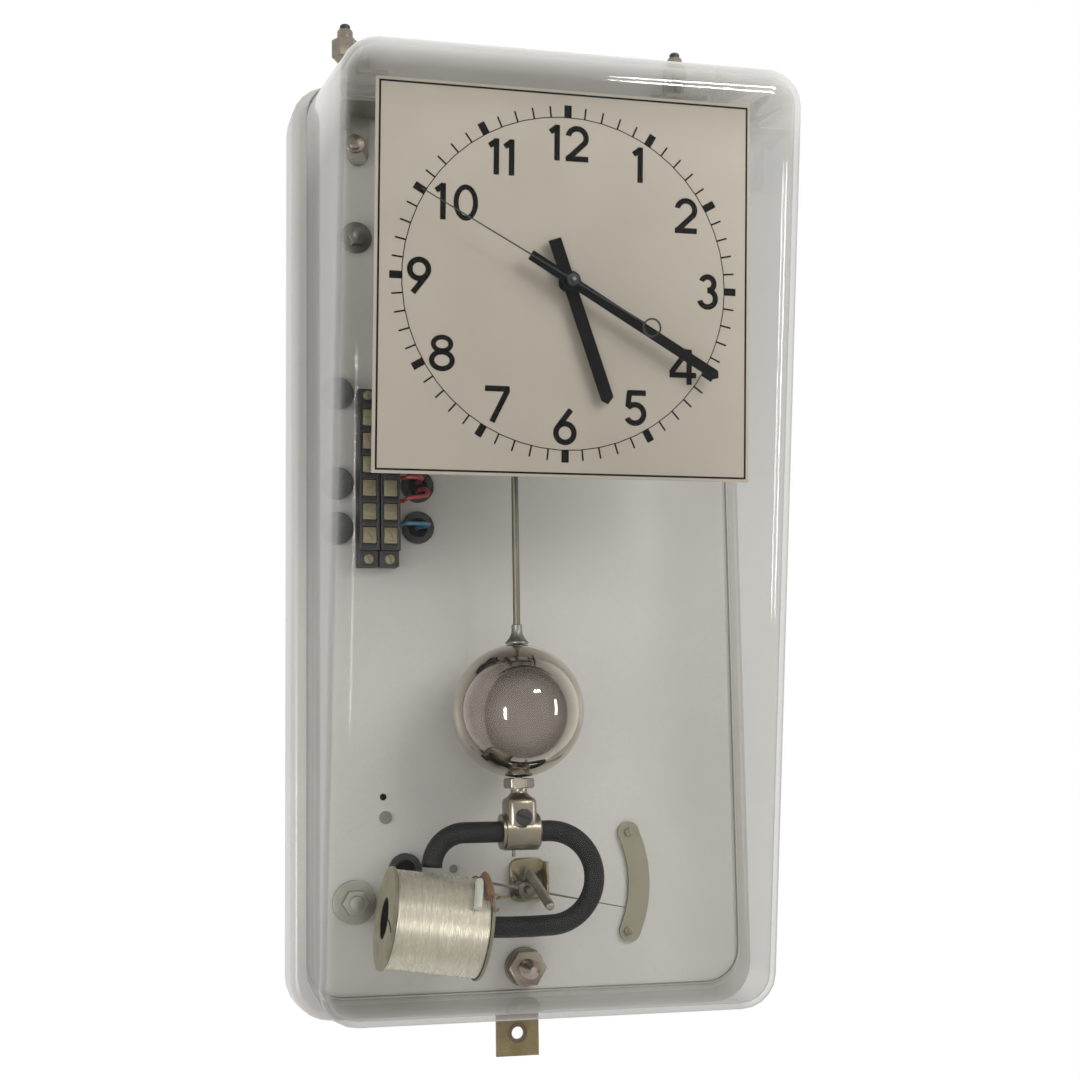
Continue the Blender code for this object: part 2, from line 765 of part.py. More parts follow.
def wire_route(start, end, bow, side):
    """A terminal's wire: out over the edge of its bush and back down into it."""
    across = end[0] - start[0]
    drop = end[2] - start[2]
    front = start[1] - bow
    return smooth_route([
        start,
        (start[0] + 2 * wire_radius, start[1], start[2]),
        (start[0] + across * wire_rise_share, front, start[2] + drop * wire_fall_share),
        (end[0] + side, front, start[2] + drop * wire_rise_share),
        (end[0] + side, start[1] * wire_bend_share, end[2]),
        (end[0], start[1] * wire_rise_share, end[2]),
        end])


def build_wires():
    """Red and blue wires between the right strip and the two bushes, and the coil's lead."""
    first = strip_top - (strip_length - (strip_cells - 1) * strip_pitch) / 2
    rows = (("red_wire_upper", 3, bush_heights[0] + wire_offset, wire_bow, 0, WIRE_RED),
            ("red_wire_lower", 4, bush_heights[0] - wire_offset, wire_bow, wire_loop, WIRE_RED),
            ("blue_wire", 5, bush_heights[1], wire_bow, wire_loop, WIRE_BLUE))
    for name, cell, height, bow, side, look in rows:
        start = (-strip_right_x + strip_width / 2 + seat_gap, -wire_stand, first - cell * strip_pitch)
        end = (-bush_x, wire_tail, height)
        route = [point + Vector((0, panel_back, 0)) for point in wire_route(start, end, bow, side)]
        tube(name, route, wire_radius, look)
    centre, axis = coil_place()
    rise = Vector((-axis.z, 0, axis.x)) * lead_up
    start = centre + axis * (coil_length / 2 + seat_gap) + rise + Vector((0, lead_back, 0))
    plate_left = regulator_x + regulator_plate_right - regulator_width / 2
    end = Vector((plate_left - lead_radius - seat_gap, panel_seat - wire_bow, start.z - lead_drop))
    middle = (start + end) / 2
    out = axis * ((middle - start).length / 2)
    tube("coil_lead", smooth_route([start, start + out, middle + Vector((0, 0, -lead_drop / 2)), end]),
         lead_radius, PALE_LEAD)


def coil_place():
    """Centre of the coil and the direction of its axis, on the magnet's swing circle."""
    leg_radius = math.hypot(magnet_bend_x + pendulum_x, magnet_upper_z + 2 * magnet_bend + pivot_z)
    centre = Vector((-pendulum_x - leg_radius * math.sin(coil_swing), -pendulum_forward,
                     pivot_z - leg_radius * math.cos(coil_swing)))
    return centre, Vector((math.cos(coil_swing), 0, -math.sin(coil_swing)))


def meshing_phase(direction, teeth, mate_teeth):
    """Turn of a wheel that lies in a direction from its mate, to set its teeth in the mate's gaps."""
    ahead = direction * mate_teeth / TURN + (direction + math.pi) * teeth / TURN - 0.5
    return ahead * TURN / teeth


def tooth_outline(teeth, tip, root, lean=0.0, phase=0.0):
    """A toothed rim of four points a tooth, or two on a saw-toothed wheel that leans."""
    points = []
    for tooth in range(teeth):
        base = phase + TURN * tooth / teeth
        pitch = TURN / teeth
        if lean:
            points.append((tip * math.cos(base), tip * math.sin(base)))
            points.append((root * math.cos(base + lean * pitch), root * math.sin(base + lean * pitch)))
        else:
            for share, radius in ((-0.06, tip), (0.06, tip), (0.5, root)):
                angle = base + share * pitch
                points.append((radius * math.cos(angle), radius * math.sin(angle)))
    return points


def spoke_windows(rim):
    """Openings between the spokes of a wheel, inside its rim."""
    windows = []
    for window in range(spokes):
        points = []
        for radius, direction in ((rim, 1), (hub_radius, -1)):
            half = math.pi / spokes - math.asin(spoke_width / 2 / radius)
            middle = TURN * (window + 0.5) / spokes
            for i in range(5):
                angle = middle + direction * half * (i / 2 - 1)
                points.append((radius * math.cos(angle), radius * math.sin(angle)))
        windows.append(points)
    return windows


def gear_radii(teeth, mate, distance):
    """Pitch, tip and root radii of a wheel that meshes with its mate at a distance."""
    module = 2 * distance / (teeth + mate)
    pitch = module * teeth / 2
    return pitch, pitch + 0.75 * module, pitch - 1.15 * module


def gear(name, outline, thickness, back, look, parent, where=(0, 0), bore=None, windows=()):
    """A flat wheel in the movement, its rear face at a distance behind the dial's face."""
    loops = [outline]
    if bore:
        loops.append(circle(bore, 16))
    loops.extend(windows)
    return curve_solid(name, loops, thickness, look, (where[0], where[1], 0), parent=parent, low=-back)


def pipe_mesh(outer, inner, low, high):
    """A tube along local Z."""
    shape = bmesh.new()
    bmesh.ops.create_circle(shape, cap_ends=False, radius=outer, segments=16)
    bmesh.ops.create_circle(shape, cap_ends=False, radius=inner, segments=16)
    bmesh.ops.bridge_loops(shape, edges=shape.edges)
    bmesh.ops.translate(shape, vec=(0, 0, low), verts=shape.verts)
    grown = bmesh.ops.extrude_face_region(shape, geom=shape.faces[:])
    moved = [g for g in grown["geom"] if isinstance(g, bmesh.types.BMVert)]
    bmesh.ops.translate(shape, vec=(0, 0, high - low), verts=moved)
    return bm_mesh("pipe", shape)


def polar(distance, angle):
    """A place at a distance and an angle from the dial's centre."""
    return (distance * math.cos(angle), distance * math.sin(angle))


def build_movement():
    """Plates, pillars, train and motion work, in the frame that leans with the dial."""
    movement = bpy.data.objects.new("movement_frame", None)
    parts.objects.link(movement)
    movement.location = (0, -dial_forward, dial_z)
    movement.rotation_euler = (FRONT + dial_tilt, 0, 0)
    bpy.context.view_layer.update()

    side = dial_side / 2
    square = [(side, side), (-side, side), (-side, -side), (side, -side)]
    curve_solid("dial", [square, circle(dial_hole_radius, 20)], dial_metal, DIAL_CREAM,
                parent=movement, low=-dial_metal)
    pipe_inner = arbor_radius + running_gap
    minute_pipe = pipe_inner + pipe_wall
    hour_inner = minute_pipe + running_gap
    hour_pipe = hour_inner + pipe_wall
    plate = rounded_rectangle(plate_width, plate_height, plate_corner, 3)
    corners = [(sx * pillar_x, sy * pillar_y) for sx in (-1, 1) for sy in (-1, 1)]
    train_place = polar(train_distance, train_angle)
    motion_place = polar(motion_distance, motion_angle)
    pivot_radius = arbor_radius + running_gap
    front_holes = [circle(pillar_tip_radius + seat_gap, 16, x, y) for x, y in corners]
    front_holes.append(circle(minute_pipe + running_gap, 16))
    front_holes.append(circle(pivot_radius, 12, *train_place))
    front_holes.append(circle(pivot_radius, 12, *motion_place))
    curve_solid("movement_front_plate", [plate] + front_holes, plate_metal, BRASS,
                parent=movement, low=-front_plate_back)
    back_holes = [circle(pillar_spacer_radius + seat_gap, 16, x, y) for x, y in corners]
    back_holes.append(circle(pivot_radius, 12))
    back_holes.append(circle(pivot_radius, 12, *train_place))
    back_plate = curve_solid("movement_back_plate", [plate] + back_holes, plate_metal, BRASS,
                             parent=movement, low=-back_plate_back)
    pin = rod_mesh("click_pin", pawl_pin_radius, -ratchet_back - wheel_metal / 2,
                   -back_plate_back + plate_metal / 2, 12)
    combine(back_plate, shifted(pin, (click_x, click_y, 0)), "UNION")
    build_pillars(movement, corners)

    pitch, tip, root = gear_radii(seconds_pinion_teeth, intermediate_teeth, train_distance)
    arbor = add("seconds_arbor", rod_mesh("arbor", arbor_radius, -arbor_back, arbor_front, 12),
                STEEL, parent=movement)
    leaves = gear("leaves", tooth_outline(seconds_pinion_teeth, tip, root), pinion_length,
                  intermediate_back + pinion_length / 2, STEEL, movement)
    merge(arbor, leaves)
    ratchet = gear("ratchet_wheel", tooth_outline(ratchet_teeth, ratchet_radius,
                                                  ratchet_radius - ratchet_tooth_depth, 0.15),
                   wheel_metal, ratchet_back, BRASS, movement, bore=hub_radius / 2,
                   windows=spoke_windows(ratchet_radius - ratchet_tooth_depth - rim_width))
    collet = pipe_mesh(hub_radius * 0.8, arbor_radius + seat_gap / 3, -ratchet_back - wheel_metal / 2,
                       -ratchet_back + 2 * wheel_metal)
    combine(ratchet, collet, "UNION")

    pitch, tip, root = gear_radii(intermediate_teeth, seconds_pinion_teeth, train_distance)
    phase = meshing_phase(train_angle, intermediate_teeth, seconds_pinion_teeth)
    wheel = gear("intermediate_wheel", tooth_outline(intermediate_teeth, tip, root, phase=phase),
                 wheel_metal, intermediate_back, BRASS, movement, train_place,
                 windows=spoke_windows(root - rim_width))
    pitch, tip, root = gear_radii(intermediate_pinion_teeth, minute_wheel_teeth, train_distance)
    leaves = gear("leaves", tooth_outline(intermediate_pinion_teeth, tip, root), pinion_length,
                  minute_wheel_back + pinion_length / 2, STEEL, movement, train_place)
    shaft_front = front_plate_back - plate_metal - seat_gap
    combine(wheel, rod_mesh("shaft", arbor_radius, -back_plate_back - seat_gap, -shaft_front, 12), "UNION")
    merge(wheel, leaves)

    pitch, tip, root = gear_radii(minute_wheel_teeth, intermediate_pinion_teeth, train_distance)
    phase = meshing_phase(train_angle + math.pi, minute_wheel_teeth, intermediate_pinion_teeth)
    minute = gear("minute_wheel", tooth_outline(minute_wheel_teeth, tip, root, phase=phase),
                  wheel_metal, minute_wheel_back, BRASS, movement, bore=pipe_inner + pipe_wall / 2,
                  windows=spoke_windows(root - rim_width))
    combine(minute, pipe_mesh(minute_pipe, pipe_inner, -minute_wheel_back, minute_pipe_front), "UNION")
    pitch, tip, root = gear_radii(cannon_teeth, reduction_teeth, motion_distance)
    cannon = gear("cannon", tooth_outline(cannon_teeth, tip, root), cannon_length, cannon_back,
                  BRASS, movement, bore=pipe_inner + pipe_wall / 2)
    merge(minute, cannon)

    pitch, tip, root = gear_radii(reduction_teeth, cannon_teeth, motion_distance)
    phase = meshing_phase(motion_angle, reduction_teeth, cannon_teeth)
    reduction = gear("reduction_wheel", tooth_outline(reduction_teeth, tip, root, phase=phase),
                     wheel_metal, cannon_back - wheel_metal / 2, BRASS, movement, motion_place)
    pitch, tip, root = gear_radii(reduction_pinion_teeth, hour_wheel_teeth, motion_distance)
    leaves_back = cannon_back - wheel_metal
    leaves_front = hour_wheel_back - 2 * wheel_metal
    leaves = gear("leaves", tooth_outline(reduction_pinion_teeth, tip, root), leaves_back - leaves_front,
                  leaves_back, STEEL, movement, motion_place)
    stud_back = front_plate_back + seat_gap
    combine(reduction, rod_mesh("stud", arbor_radius, -stud_back, -leaves_back, 12), "UNION")
    merge(reduction, leaves)

    pitch, tip, root = gear_radii(hour_wheel_teeth, reduction_pinion_teeth, motion_distance)
    phase = meshing_phase(motion_angle + math.pi, hour_wheel_teeth, reduction_pinion_teeth)
    hour = gear("hour_wheel", tooth_outline(hour_wheel_teeth, tip, root, phase=phase), wheel_metal,
                hour_wheel_back, BRASS, movement, bore=hour_inner + pipe_wall / 2)
    combine(hour, pipe_mesh(hour_pipe, hour_inner, -hour_wheel_back, hour_pipe_front), "UNION")

    build_hands(movement, hour_pipe, minute_pipe)
    build_clicks(movement)
    return movement


def merge(piece, other):
    """Fuse another piece of the same body into a piece."""
    bpy.context.view_layer.update()
    mesh = baked(other)
    mesh.transform(piece.matrix_world.inverted() @ other.matrix_world)
    bpy.data.objects.remove(other, do_unlink=True)
    return combine(piece, mesh, "UNION")


def build_pillars(movement, corners):
    """Stepped pillars from the panel through both plates to the back of the dial."""
    for number, (x, y) in enumerate(corners, 1):
        world = movement.matrix_world @ Vector((x, y, 0))
        normal = movement.matrix_world.to_3x3() @ Vector((0, 0, 1))
        foot = (world.y - panel_seat) / normal.y - pillar_radius * math.tan(dial_tilt)
        steps = [(pillar_tip_radius, -dial_metal - seat_gap),
                 (pillar_tip_radius, -front_plate_back - seat_gap),
                 (pillar_spacer_radius, -front_plate_back - seat_gap),
                 (pillar_spacer_radius, -back_plate_back - seat_gap),
                 (pillar_radius, -back_plate_back - seat_gap),
                 (pillar_radius, -foot)]
        profile = [(0, steps[0][1])] + steps + [(0, -foot)]
        turned("movement_pillar_%d" % number, profile, STEEL, (x, y, 0), parent=movement, steps=16)


def hand_mesh(name, length, tail, width, hub):
    """A flat baton hand with cut corners, pointing up from its hub."""
    half = width / 2
    cut = half * 0.8
    outline = [(-half, -tail), (half, -tail), (half, length - cut), (half - cut, length), (-half, length - cut)]
    return [outline, circle(hub, 16)]


def build_hands(movement, hour_pipe, minute_pipe):
    """Hour, minute and seconds hands, each turned about its own pipe or arbor."""
    hands = (("hour_hand", hour_hand_length, hour_hand_tail, hour_hand_width, hour_hand_front,
              hour_hand_angle, hour_pipe),
             ("minute_hand", minute_hand_length, minute_hand_tail, minute_hand_width, minute_hand_front,
              minute_hand_angle, minute_pipe))
    for name, length, tail, width, front, angle, pipe in hands:
        loops = hand_mesh(name, length, tail, width, pipe + seat_gap / 3)
        bore = pipe + seat_gap / 3
        boss = pipe_mesh(hand_hub_radius, bore, front - hand_metal / 2, front + 1.5 * hand_metal)
        hand = curve_solid(name, loops[:1], hand_metal, HAND_BLACK, turn=(0, 0, -angle),
                           parent=movement, low=front)
        combine(hand, rod_mesh("eye", hand_hub_radius, front, front + hand_metal, 24), "UNION")
        combine(hand, rod_mesh("hand_bore", bore, front - overrun, front + overrun, 16))
        bpy.data.meshes.remove(boss)
    half = seconds_hand_width / 2
    ring_low = -seconds_ring_distance + seconds_ring_radius - half
    needle = [(-half, ring_low), (half, ring_low), (half / 2, seconds_hand_length), (-half / 2, seconds_hand_length)]
    seconds = curve_solid("seconds_hand", [needle], seconds_hand_metal, HAND_BLACK,
                          turn=(0, 0, -seconds_hand_angle), parent=movement, low=seconds_hand_front)
    combine(seconds, rod_mesh("seconds_hub", seconds_hub_radius, seconds_hand_front,
                              seconds_hand_front + 2 * seconds_hand_metal, 20), "UNION")
    loop = pipe_mesh(seconds_ring_radius, seconds_ring_radius - seconds_hand_width,
                     seconds_hand_front, seconds_hand_front + seconds_hand_metal)
    combine(seconds, shifted(loop, (0, -seconds_ring_distance, 0)), "UNION")
    combine(seconds, rod_mesh("seconds_bore", arbor_radius + seat_gap / 3, 0, seconds_hand_front + overrun, 12))


def shifted(mesh, offset):
    """The same mesh, moved in its own frame."""
    shape = bmesh.new()
    shape.from_mesh(mesh)
    bmesh.ops.translate(shape, vec=offset, verts=shape.verts)
    shape.to_mesh(mesh)
    shape.free()
    return mesh


def lever_outline(length, eye, width):
    """A tapered lever from its eye at the origin along local X."""
    half = width / 2
    back = [(eye * math.cos(a), eye * math.sin(a)) for a in
            [math.radians(45 + 30 * i) for i in range(10)]]
    return [(length, half / 2)] + back + [(length, -half / 2)]


def build_clicks(movement):
    """Driving pawl and holding click, each resting on the tips of the saw teeth."""
    rows = (("drive_pawl", pawl_x, pawl_y, pawl_contact_angle), ("holding_click", click_x, click_y, click_contact_angle))
    rest = ratchet_radius + seat_gap + pawl_width / 4
    for name, x, y, angle in rows:
        tip = Vector((rest * math.cos(angle), rest * math.sin(angle)))
        reach = tip - Vector((x, y))
        outline = lever_outline(reach.length, pawl_eye_radius, pawl_width)
        curve_solid(name, [outline, circle(pawl_pin_radius + running_gap, 12)], wheel_metal, STEEL,
                    (x, y, 0), (0, 0, math.atan2(reach.y, reach.x)), movement, -ratchet_back)


def build_pendulum():
    """Spring, top block with its arm, rod, neck, ball, rating nut, clamp and magnet."""
    pivot = Vector((-pendulum_x, -pendulum_forward, pivot_z))
    spring_half = spring_length / 2
    strip = block_mesh("strip", (spring_metal, spring_width, spring_length + 2 * spring_grip))
    add("suspension_spring", strip, STEEL, pivot)

    block_top = -spring_half - seat_gap
    body = block_mesh("block", (block_width, block_depth, block_height), (0, 0, block_top - block_height / 2))
    block = add("pendulum_top_block", body, BRASS, pivot)
    combine(block, block_mesh("spring_slot", (spring_metal + 2 * seat_gap, spring_width + 2 * seat_gap, 2 * spring_grip + 2 * seat_gap),
                              (0, 0, block_top)))
    arm_z = block_top - arm_height / 2
    span = arm_reach + arm_tail + block_width / 2
    arm = block_mesh("arm", (span, arm_metal, arm_height),
                     (arm_reach - span / 2, -block_depth / 2 - arm_metal / 2 + arm_metal / 4, arm_z))
    combine(block, arm, "UNION")
    movement = bpy.data.objects["movement_frame"]
    tilt = movement.matrix_world.to_3x3() @ Vector((0, 0, 1))
    eye = movement.matrix_world @ Vector((pawl_x, pawl_y, -ratchet_back + 1.5 * wheel_metal))
    back = pivot.y - block_depth / 2 - arm_metal / 2
    length = (back - eye.y) / -tilt.y
    pin = rod_mesh("pawl_pin", pawl_pin_radius, -length, 0, 12)
    combine(block, pin, "UNION", eye, (FRONT + dial_tilt, 0, 0))

    rod_top = block_top - block_height - seat_gap
    ball_centre = -ball_z - pivot_z
    nut_top = ball_centre - ball_radius - seat_gap
    nut_bottom = nut_top - nut_height
    neck_top = nut_bottom - nut_travel
    clamp_low = -magnet_upper_z - pivot_z - clamp_barrel_radius
    add("pendulum_rod", rod_mesh("rod", rod_radius, neck_top + seat_gap, rod_top, 16), STEEL, pivot)

    hole = rod_radius + bore_gap
    sphere = bmesh.new()
    bmesh.ops.create_uvsphere(sphere, u_segments=28, v_segments=18, radius=ball_radius)
    ball_mesh = bm_mesh("ball", sphere)
    soften(ball_mesh)
    ball = add("pendulum_ball", ball_mesh, POLISHED, pivot + Vector((0, 0, ball_centre)))
    combine(ball, rod_mesh("ball_bore", hole, -ball_radius - overrun, ball_radius + overrun, 16))

    foot = ball_centre + math.sqrt(ball_radius ** 2 - neck_foot_radius ** 2) + seat_gap
    crown = ball_centre + ball_radius + seat_gap
    top = crown + neck_length
    waist = crown + neck_length * 0.35
    neck = [(hole, top), (neck_top_radius, top), (neck_top_radius, waist), (neck_foot_radius, foot + seat_gap),
            (neck_foot_radius, foot), (hole, crown)]
    turned("ball_neck", neck, NICKEL, pivot, steps=20, ring=True)
    collar = [(hole, nut_top), (nut_radius - nut_height / 6, nut_top), (nut_radius, nut_top - nut_height / 6),
              (nut_radius, nut_bottom + nut_height / 6), (nut_radius - nut_height / 6, nut_bottom), (hole, nut_bottom)]
    turned("rating_nut", collar, NICKEL, pivot, steps=24, ring=True)
    build_clamp(pivot, neck_top, clamp_low)
    build_magnet(pivot)


def build_clamp(pivot, neck_top, clamp_low):
    """Clamp block: flat cheeks above, a barrel round the magnet below, and its screw."""
    top = -clamp_top - pivot_z
    bar = -magnet_upper_z - pivot_z
    flank = clamp_face_width / 2
    cheek = [(-flank, bar), (flank, bar), (flank, top - clamp_shoulder), (flank - clamp_shoulder, top),
             (clamp_shoulder - flank, top), (-flank, top - clamp_shoulder)]
    clamp = curve_solid("magnet_clamp", [cheek], clamp_depth, NICKEL, pivot, (FRONT, 0, 0), low=-clamp_depth / 2)
    half = clamp_barrel_length / 2
    barrel = rod_mesh("barrel", clamp_barrel_radius, -half, half, 24)
    where = pivot + Vector((0, 0, bar))
    combine(clamp, barrel, "UNION", where, (0, FRONT, 0))
    neck = rod_mesh("neck", clamp_neck_radius, top - clamp_shoulder, neck_top, 20)
    combine(clamp, neck, "UNION", pivot, (0, 0, 0))
    bore = rod_mesh("magnet_bore", magnet_radius + bore_gap, -clamp_width, clamp_width, 20)
    combine(clamp, bore, where=where, turn=(0, FRONT, 0))
    face = clamp_depth / 2 + seat_gap
    head = [(0, face + clamp_screw_head), (clamp_screw_radius * 0.7, face + clamp_screw_head),
            (clamp_screw_radius, face + clamp_screw_head / 2), (clamp_screw_radius, face), (0, face)]
    turned("clamp_screw", head, BLACK_PLASTIC, pivot + Vector((0, 0, -clamp_screw_z - pivot_z)), (FRONT, 0, 0), steps=20)


def build_magnet(pivot):
    """Round bar bent to a C: one pole above the coil, the other along its bore."""
    centre_z = -magnet_upper_z - magnet_bend
    points = []
    for i in range(magnet_bend_steps + 1):
        angle = math.pi - FRONT * i / magnet_bend_steps
        points.append((-magnet_pole_x + magnet_pole_bend * (1 + math.cos(angle)),
                       -magnet_pole_z + (magnet_pole_z - magnet_upper_z) * math.sin(angle)))
    for i in range(2 * magnet_bend_steps + 1):
        angle = FRONT - math.pi * i / (2 * magnet_bend_steps)
        points.append((magnet_bend_x + magnet_bend * math.cos(angle), centre_z + magnet_bend * math.sin(angle)))
    corner = points[-1]
    leg_radius = math.hypot(corner[0] + pendulum_x, corner[1] - pivot_z)
    start = math.asin((corner[0] + pendulum_x) / leg_radius)
    for i in range(1, magnet_leg_steps + 1):
        angle = start - (start + magnet_leg_span) * i / magnet_leg_steps
        points.append((-pendulum_x + leg_radius * math.sin(angle), pivot_z - leg_radius * math.cos(angle)))
    path = [(x, -pendulum_forward, z) for x, z in points]
    magnet = tube("magnet", path, magnet_radius, MAGNET_BLACK, 4)
    for vertex in magnet.data.vertices:
        vertex.co -= pivot
    magnet.location = pivot


def build_coil():
    """Bobbin, core, outer winding layer and saddle, on the circle that the magnet swings along."""
    centre = coil_place()[0]
    lie = (0, FRONT + coil_swing, 0)
    half = coil_length / 2
    barrel = coil_bore_radius + coil_barrel_wall
    inside = half - coil_flange
    bobbin = [(coil_flange_radius, half), (coil_flange_radius, inside), (barrel, inside), (barrel, -inside),
              (coil_flange_radius, -inside), (coil_flange_radius, -half), (coil_bore_radius, -half),
              (coil_bore_radius, half)]
    turned("coil_bobbin", bobbin, PAXOLIN, centre, lie, steps=28, ring=True)
    core_radius = coil_flange_radius - coil_rim - winding_wire - seat_gap
    wound = inside - seat_gap
    core = [(core_radius, wound), (core_radius, -wound), (barrel + seat_gap, -wound), (barrel + seat_gap, wound)]
    turned("coil_core", core, WINDING, centre, lie, steps=24, ring=True)
    radius = core_radius + seat_gap + winding_wire / 2
    room = 2 * (wound - winding_wire / 2)
    pitch = room / winding_loops
    total = winding_loops * winding_steps
    helix = []
    for i in range(total + 1):
        angle = TURN * i / winding_steps
        helix.append(Vector((radius * math.cos(angle), radius * math.sin(angle), -room / 2 + pitch * i / winding_steps)))
    winding = tube("coil_winding", helix, winding_wire / 2, WINDING, 1)
    winding.location = centre
    winding.rotation_euler = lie
    gap = min((helix[i] - helix[i + winding_steps]).length for i in range(total - winding_steps + 1)) - winding_wire
    print("least gap between the winding's turns, mm:", round(gap / MM, 2))

    depth = pendulum_forward + panel_seat - coil_bore_radius - coil_barrel_wall
    saddle_body = block_mesh("saddle", (coil_length - 2 * saddle_inset, depth, saddle_height), (0, -depth / 2, 0))
    saddle = add("coil_saddle", saddle_body, STEEL, (centre[0], panel_seat, centre[2]), (0, coil_swing, 0))
    well = rod_mesh("saddle_well", coil_flange_radius + seat_gap, -coil_length, coil_length, 32)
    combine(saddle, well, where=centre, turn=lie)


def build_regulator():
    """Bracket with its stub, the needle that turns on it, the handle and the arc scale."""
    place = on_panel(regulator_x, -regulator_z)
    plate = [(x + regulator_plate_right, y + regulator_plate_rise)
             for x, y in rounded_rectangle(regulator_width, regulator_height, regulator_width / 4, 4)]
    bracket = curve_solid("regulator_bracket", [plate], regulator_metal, BRASS, place, (FRONT, 0, 0))
    combine(bracket, rod_mesh("stub", regulator_stub_radius, 0, regulator_stub, 16), "UNION")
    stub_base = rod_mesh("boss", needle_hub_radius, 0, needle_hub_back - seat_gap, 20)
    combine(bracket, stub_base, "UNION")
    half = needle_width / 2
    blade = [(needle_length, half / 3), (0, half), (-needle_tail, half), (-needle_tail, -half), (0, -half),
             (needle_length, -half / 3)]
    needle = curve_solid("regulator_needle", [blade], needle_metal, STEEL, place, (FRONT, 0, 0), low=needle_hub_back)
    needle.rotation_euler = (FRONT, -needle_angle, 0)
    combine(needle, rod_mesh("needle_hub", needle_hub_radius, needle_hub_back, needle_hub_back + 2 * needle_metal, 20),
            "UNION")
    lift = block_mesh("needle_arm", (needle_hub_radius, handle_lift + handle_radius, needle_metal),
                      (0, (handle_lift + handle_radius) / 2, needle_hub_back + needle_metal / 2))
    combine(needle, lift, "UNION")
    combine(needle, rod_mesh("needle_bore", regulator_stub_radius + running_gap, 0, regulator_stub + overrun, 16))
    length = math.hypot(handle_reach, handle_drop)
    tilt = math.atan2(handle_drop, handle_reach)
    base = handle_radius * math.tan(tilt) + seat_gap
    profile = [(0, length), (handle_tip_radius, length), (handle_radius, length - handle_radius),
               (handle_radius, base), (0, base)]
    back = -panel_seat + needle_hub_back + needle_metal
    lean = Vector((math.sin(needle_angle), 0, math.cos(needle_angle))) * handle_lift
    turned("regulator_handle", profile, NICKEL,
           (regulator_x - lean.x, -back, -regulator_z + lean.z), (FRONT + tilt, 0, 0), steps=16)

    inner = scale_radius - scale_width / 2
    outer = scale_radius + scale_width / 2
    outline = []
    for i in range(13):
        angle = -scale_half_angle + 2 * scale_half_angle * i / 12
        outline.append((outer * math.cos(angle), outer * math.sin(angle)))
    outline += end_cap(scale_half_angle, 1)
    for i in range(13):
        angle = scale_half_angle - 2 * scale_half_angle * i / 12
        outline.append((inner * math.cos(angle), inner * math.sin(angle)))
    outline += end_cap(-scale_half_angle, -1)
    curve_solid("scale_plate", [outline], scale_metal, IVORY, on_panel(scale_x, -scale_z), (FRONT, 0, 0))


def end_cap(angle, direction):
    """Round end of the arc scale, between its outer and inner edges."""
    points = []
    for i in range(1, 6):
        swing = angle + direction * math.pi * i / 6
        points.append((scale_radius * math.cos(angle) + scale_width / 2 * math.cos(swing),
                       scale_radius * math.sin(angle) + scale_width / 2 * math.sin(swing)))
    return points


def build_suspension():
    """Cock that carries the spring in front of the panel, and the impulse contact."""
    low = pivot_z + spring_length / 2 + seat_gap
    reach = pendulum_forward + cock_nose + panel_seat
    foot = block_mesh("foot", (cock_foot_width, cock_foot_metal, cock_foot_height),
                      (0, -cock_foot_metal / 2, cock_height / 2))
    cock = add("suspension_cock", foot, NICKEL, (-pendulum_x, panel_seat, low))
    combine(cock, block_mesh("arm", (cock_width, reach, cock_height), (0, -reach / 2, cock_height / 2)), "UNION")
    slot = block_mesh("spring_slot", (cock_slot_width, spring_width + 2 * seat_gap,
                                      2 * spring_grip + 2 * seat_gap))
    combine(cock, slot, where=(-pendulum_x, -pendulum_forward, low), turn=(0, 0, 0))
    pin = rod_mesh("pin", cock_pin_radius, -cock_width / 2 - cock_pin_radius, cock_width / 2 + cock_pin_radius, 12)
    combine(cock, pin, "UNION", (-pendulum_x, -pendulum_forward, low + spring_grip + 2 * cock_pin_radius), (0, FRONT, 0))

    arm_low = pivot_z - spring_length / 2 - seat_gap - arm_height
    height = arm_low - contact_gap - blade_metal / 2
    arm_front = pendulum_forward + block_depth / 2 + arm_metal
    reach = arm_front + blade_width / 2 + panel_seat
    base = block_mesh("base", (contact_width, reach, contact_height), (0, -reach / 2, 0))
    contact = add("impulse_contact", base, BLACK_PLASTIC, (-contact_x, panel_seat, height))
    blade = block_mesh("blade", (blade_length, blade_width, blade_metal),
                       (contact_width / 2 + blade_length / 2 - blade_metal, -reach + blade_width / 2, 0))
    combine(contact, blade, "UNION")


def main():
    """Build every piece of the clock."""
    build_tray()
    build_cover()
    build_cover_screws()
    build_tab()
    build_panel_nuts()
    build_grommets()
    build_strips()
    build_wires()
    build_movement()
    build_pendulum()
    build_coil()
    build_regulator()
    build_suspension()


main()
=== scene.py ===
"""The looks of an electric master clock with a magnet pendulum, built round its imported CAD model.

Lengths are metres, with Z up, the wall at Y = 0 and the reader towards -Y. Shapes are written in millimetres.
"""
import json
import math

import bmesh
import bpy
from mathutils import Matrix, Vector


